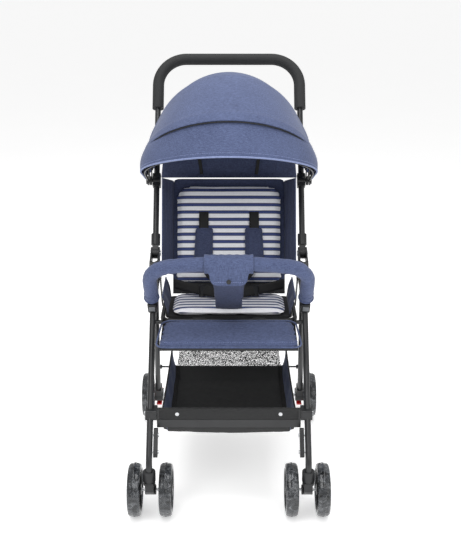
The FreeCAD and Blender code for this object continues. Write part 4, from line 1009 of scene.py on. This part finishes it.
def floor_at(u, v):
    """The basket's floor: it sags, wrinkles, and turns up at its front and rear."""
    x = (2 * u - 1) * FLOOR_HALF
    y = BASKET_LOW.y + 6 * MM + (BASKET_HIGH.y - BASKET_LOW.y - 8 * MM) * v
    front, rear = max(0.0, 1 - v / 0.13), max(0.0, 1 - (1 - v) / 0.1)
    dip = 9 * MM * math.sin(math.pi * u) * math.sin(math.pi * v)
    z = BASKET_LOW.z + 9 * MM - dip + 60 * MM * front ** 1.7
    z += 22 * MM * rear ** 1.6
    point = Vector((x, y, z))
    fold = 3.6 * MM * noise.noise(Vector((x * 9.0, y * 22.0, 1.5))) + 1.8 * MM * noise.noise(point * 45.0)
    return point + Vector((0, 0, fold * math.sin(math.pi * min(1.0, max(0.0, v))) ** 0.5))


def side_at(sign, u, v):
    """A side of the basket, from its floor edge up to its rim."""
    floor = floor_at((sign + 1) / 2, u)
    lift = v * (BASKET_HIGH.z - floor.z - 2 * MM - 6 * MM * math.sin(math.pi * u))
    out = 9 * MM * v ** 0.8 + 2.5 * MM * math.sin(u * 26.0 + 2 * v) * math.sin(math.pi * v)
    return floor + Vector((sign * out, 0, lift))


def flap_at(u, v):
    """The front flap: over the crossbar's upper half, round its top and down to the floor."""
    x = (2 * u - 1) * 166 * MM
    pucker = math.sin(u * 95.0) * 0.7 * MM + 0.9 * MM * noise.noise(Vector((x * 60.0, v * 3.0, 0.0)))
    stops = ((0.0, CROSSBAR_FACE - 0.5 * MM, CROSSBAR_TOP - 25 * MM),
             (0.2, CROSSBAR_FACE - 0.5 * MM, CROSSBAR_TOP - 2 * MM),
             (0.3, CROSSBAR_FACE + 5 * MM, CROSSBAR_TOP + 2.5 * MM),
             (0.42, CROSSBAR_FACE + 15 * MM, CROSSBAR_TOP - 3 * MM),
             (1.0, CROSSBAR_FACE + 21 * MM, BASKET_LOW.z + 66 * MM))
    for (a, y0, z0), (b, y1, z1) in zip(stops, stops[1:]):
        if v <= b:
            k = (v - a) / (b - a)
            inside = pucker * (1.0 if v > 0.22 else 0.0)
            return Vector((x, y0 + (y1 - y0) * k + inside, z0 + (z1 - z0) * k + inside))
    return Vector((x, stops[-1][1], stops[-1][2]))


def folding(piece):
    """Turns a basket piece's modifiers into its mesh and bakes its placement into its points."""
    apply_all(piece)
    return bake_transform(piece)


def make_basket():
    floor = cloth("basket_floor", 48, 64, floor_at, LOOKS["basket_cloth"], "basket_cloth", None, "hung",
                  ["crossbar"])
    folding(floor)
    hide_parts("basket")
    flap = cloth("basket_flap", 110, 30, flap_at, LOOKS["basket_cloth"], "basket_cloth", "front_frame",
                 "folded", ["crossbar"], 0.7 * MM)
    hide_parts("basket")
    for side, sign in SIDES:
        panel = cloth(f"basket_side_{side}", 60, 16, lambda u, v, sign=sign: side_at(sign, u, v),
                      LOOKS["denim"], "denim", None, "hung", ["basket_floor"])
        folding(panel)
        band = [side_at(sign, k / 40, 0.03) + Vector((-sign * 1 * MM, 0, 1.5 * MM)) for k in range(41)]
        made = tape(f"basket_band_{side}", band, Vector((0.85, 0, 0.25 * sign)), 24 * MM, LOOKS["webbing"],
                    None, 1.2 * MM)
        folding(made)
        rim = cable(f"basket_rim_{side}", [side_at(sign, k / 40, 1.0) for k in range(41)], 2.0 * MM,
                    LOOKS["webbing"], None)
        folding(rim)
    low, high = (Vector(c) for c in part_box("basket_mesh"))

    def back(u, v):
        half = high.x - 8 * MM * math.sin(math.pi * v)
        slack = -5 * MM * math.sin(math.pi * u) * math.sin(math.pi * v)
        return Vector(((2 * u - 1) * half, low.y + 1 * MM + slack, high.z + (low.z - 6 * MM - high.z) * v))
    panel = cloth("basket_net_back", 40, 24, back, LOOKS["basket_net"], "basket_net", None, "hung",
                  ["rear_cross_rod"], 0.5 * MM)
    folding(panel)
    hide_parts("basket_mesh")
    for name, v, radius in (("net_binding_top", 0.0, 2.4 * MM), ("net_binding_low", 1.0, 2.0 * MM)):
        rim = cable(name, [back(k / 30, v) for k in range(31)], radius, LOOKS["webbing"], None)
        folding(rim)


# ---------------------------------------------------------------- tyres
def make_tyres():
    treads = bpy.context.scene.stroller_hard.treads
    wheels = [(f"front_tyres_{side}", f"front_wheels_{side}", 2) for side, _ in SIDES] \
        + [(f"rear_tyre_{side}", f"rear_wheel_{side}", 1) for side, _ in SIDES]
    for node, body, count in wheels:
        low, high = (Vector(c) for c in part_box(node))
        centre, radius = (low + high) / 2, (high.z - low.z) / 2
        half = 15 * MM
        bore = radius - 15.9 * MM
        mesh = bmesh.new()
        for number in range(count):
            middle = centre.x if count == 1 else (low.x + half if number == 0 else high.x - half)
            outline = [(-0.86, bore), (-0.98, bore + 3 * MM), (-1.0, bore + 7 * MM),
                       (-0.93, radius - 4.6 * MM), (-0.72, radius - 2.4 * MM), (-0.45, radius - 1.4 * MM),
                       (-0.2, radius - 1.2 * MM), (-0.12, radius - 0.05 * MM)]
            outline += [(-x, r) for x, r in reversed(outline)]
            ring = [mesh.verts.new((middle + x * half, centre.y, centre.z + r)) for x, r in outline]
            edges = [mesh.edges.new((a, b)) for a, b in zip(ring, ring[1:] + ring[:1])]
            bmesh.ops.spin(mesh, geom=ring + edges, cent=(middle, centre.y, centre.z), axis=(1, 0, 0),
                           angle=2 * math.pi, steps=treads * 4, use_merge=True)
        bmesh.ops.remove_doubles(mesh, verts=mesh.verts, dist=0.02 * MM)
        for vert in mesh.verts:
            r = Vector((0, vert.co.y - centre.y, vert.co.z - centre.z))
            if radius - 3 * MM < r.length < radius - 0.6 * MM:
                turn = math.atan2(r.z, r.y) * treads
                vert.co -= r.normalized() * (0.55 * MM * (0.5 + 0.5 * math.sin(turn)))
        bmesh.ops.recalc_face_normals(mesh, faces=mesh.faces)
        made = keep(f"{node}_moulded", mesh, LOOKS["tyre_smoke"], body)
        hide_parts(node)


# ---------------------------------------------------------------- floor, light and camera
CAMERA_AT = (0.004, -2.271, 1.242)
CAMERA_DOWN = 17.7                # degrees below level
CAMERA_LENS = 61.2


def make_stage():
    scene = bpy.context.scene
    mesh = bmesh.new()
    bmesh.ops.create_grid(mesh, x_segments=1, y_segments=1, size=90.0)
    material, tree, shader, place = start("pale_floor", Roughness=0.9, Emission_Color=(1, 1, 1, 1),
                                          Emission_Strength=0.46)
    mottle = add(tree, "ShaderNodeTexNoise", {"Vector": place, "Scale": 2.0})
    shade = ramp(tree, mottle.outputs["Fac"], [(0.0, srgb("#f7f7f7")), (1.0, srgb("#fbfbfb"))])
    tree.links.new(shade, shader.inputs["Base Color"])
    floor = keep("floor", mesh, material, None)
    world = bpy.data.worlds.new("studio")
    scene.world = world
    world.use_nodes = True
    world.node_tree.nodes["Background"].inputs["Color"].default_value = (1, 1, 1, 1)
    world.node_tree.nodes["Background"].inputs["Strength"].default_value = 0.5
    for name, place, size, power in (("key", (-1.0, -2.2, 2.8), 1.8, 34), ("fill", (1.8, -1.8, 1.6), 1.8, 14),
                                     ("top", (0.0, 0.0, 2.8), 2.2, 44)):
        data = bpy.data.lights.new(name, "AREA")
        data.size = size
        data.energy = power
        lamp = bpy.data.objects.new(name, data)
        lamp.location = place
        lamp.rotation_euler = (Vector((0, 0, 0.5)) - Vector(place)).to_track_quat("-Z", "Y").to_euler()
        scene.collection.objects.link(lamp)
    data = bpy.data.cameras.new("camera")
    data.sensor_width = 36
    data.lens = CAMERA_LENS
    data.clip_end = 300
    camera = bpy.data.objects.new("camera", data)
    camera.location = CAMERA_AT
    camera.rotation_euler = (math.radians(90 - CAMERA_DOWN), 0, 0)
    scene.collection.objects.link(camera)
    scene.camera = camera
    scene.view_settings.view_transform = "Standard"


# ---------------------------------------------------------------- operators and panel
class STROLLER_OT_finishes(bpy.types.Operator):
    """Make every finish and give the frame's pieces theirs"""
    bl_idname = "stroller.finishes"
    bl_label = "Finishes"
    bl_options = {"REGISTER", "UNDO"}

    def execute(self, context):
        make_looks()
        return {"FINISHED"}


class STROLLER_OT_hood(bpy.types.Operator):
    """Three cloth panels over the bows, with piping and stitching"""
    bl_idname = "stroller.hood"
    bl_label = "Hood"
    bl_options = {"REGISTER", "UNDO"}

    def execute(self, context):
        make_hood()
        return {"FINISHED"}


class STROLLER_OT_curtain(bpy.types.Operator):
    """Curtain behind the backrest and its tapes"""
    bl_idname = "stroller.curtain"
    bl_label = "Rear Curtain"
    bl_options = {"REGISTER", "UNDO"}

    def execute(self, context):
        make_curtain()
        return {"FINISHED"}


class STROLLER_OT_backrest(bpy.types.Operator):
    """Striped backrest pad and the wings beside it"""
    bl_idname = "stroller.backrest"
    bl_label = "Backrest"
    bl_options = {"REGISTER", "UNDO"}

    def execute(self, context):
        make_backrest()
        return {"FINISHED"}


class STROLLER_OT_harness(bpy.types.Operator):
    """Shoulder pads, webbing, sliders and slots"""
    bl_idname = "stroller.harness"
    bl_label = "Harness"
    bl_options = {"REGISTER", "UNDO"}

    def execute(self, context):
        make_harness()
        return {"FINISHED"}


class STROLLER_OT_seat(bpy.types.Operator):
    """Seat pad and the cloth at its sides"""
    bl_idname = "stroller.seat"
    bl_label = "Seat"
    bl_options = {"REGISTER", "UNDO"}

    def execute(self, context):
        make_seat()
        return {"FINISHED"}


class STROLLER_OT_crotch_strap(bpy.types.Operator):
    """Padded strap from the seat up to the bumper bar"""
    bl_idname = "stroller.crotch_strap"
    bl_label = "Crotch Strap"
    bl_options = {"REGISTER", "UNDO"}

    def execute(self, context):
        make_crotch_strap()
        return {"FINISHED"}


class STROLLER_OT_calf_rest(bpy.types.Operator):
    """Calf rest pad with its piping"""
    bl_idname = "stroller.calf_rest"
    bl_label = "Calf Rest"
    bl_options = {"REGISTER", "UNDO"}

    def execute(self, context):
        make_calf_rest()
        return {"FINISHED"}


class STROLLER_OT_bumper(bpy.types.Operator):
    """Cover of the bumper bar and the cuff round its middle"""
    bl_idname = "stroller.bumper"
    bl_label = "Bumper Bar"
    bl_options = {"REGISTER", "UNDO"}

    def execute(self, context):
        make_bumper()
        return {"FINISHED"}


class STROLLER_OT_basket(bpy.types.Operator):
    """Basket floor, sides, flap and net"""
    bl_idname = "stroller.basket"
    bl_label = "Basket"
    bl_options = {"REGISTER", "UNDO"}

    def execute(self, context):
        make_basket()
        return {"FINISHED"}


class STROLLER_OT_tyres(bpy.types.Operator):
    """Moulded tyres on all six wheels"""
    bl_idname = "stroller.tyres"
    bl_label = "Tyres"
    bl_options = {"REGISTER", "UNDO"}

    def execute(self, context):
        make_tyres()
        return {"FINISHED"}


class STROLLER_OT_stage(bpy.types.Operator):
    """Floor, soft lights and camera"""
    bl_idname = "stroller.stage"
    bl_label = "Stage"
    bl_options = {"REGISTER", "UNDO"}

    def execute(self, context):
        make_stage()
        return {"FINISHED"}


STEPS = (STROLLER_OT_stage, STROLLER_OT_finishes, STROLLER_OT_hood, STROLLER_OT_curtain, STROLLER_OT_backrest,
         STROLLER_OT_harness, STROLLER_OT_seat, STROLLER_OT_crotch_strap, STROLLER_OT_calf_rest,
         STROLLER_OT_bumper, STROLLER_OT_basket, STROLLER_OT_tyres)


class STROLLER_PT_panel(bpy.types.Panel):
    """The making of the stroller, step by step"""
    bl_label = "Baby Stroller"
    bl_idname = "STROLLER_PT_panel"
    bl_space_type = "VIEW_3D"
    bl_region_type = "UI"
    bl_category = "Stroller"

    def draw(self, context):
        for group in (context.scene.stroller_cloth, context.scene.stroller_hard):
            for key in group.__annotations__:
                self.layout.prop(group, key)
        for step in STEPS:
            self.layout.operator(step.bl_idname)


CLASSES = (StrollerCloth, StrollerHard, *STEPS, STROLLER_PT_panel)


def register():
    for made in CLASSES:
        bpy.utils.register_class(made)
    bpy.types.Scene.stroller_cloth = PointerProperty(type=StrollerCloth)
    bpy.types.Scene.stroller_hard = PointerProperty(type=StrollerHard)


def unregister():
    del bpy.types.Scene.stroller_cloth
    del bpy.types.Scene.stroller_hard
    for made in reversed(CLASSES):
        bpy.utils.unregister_class(made)


def main():
    register()
    for step in STEPS:
        group, name = step.bl_idname.split(".")
        getattr(getattr(bpy.ops, group), name)()


if __name__ == "__main__":
    main()
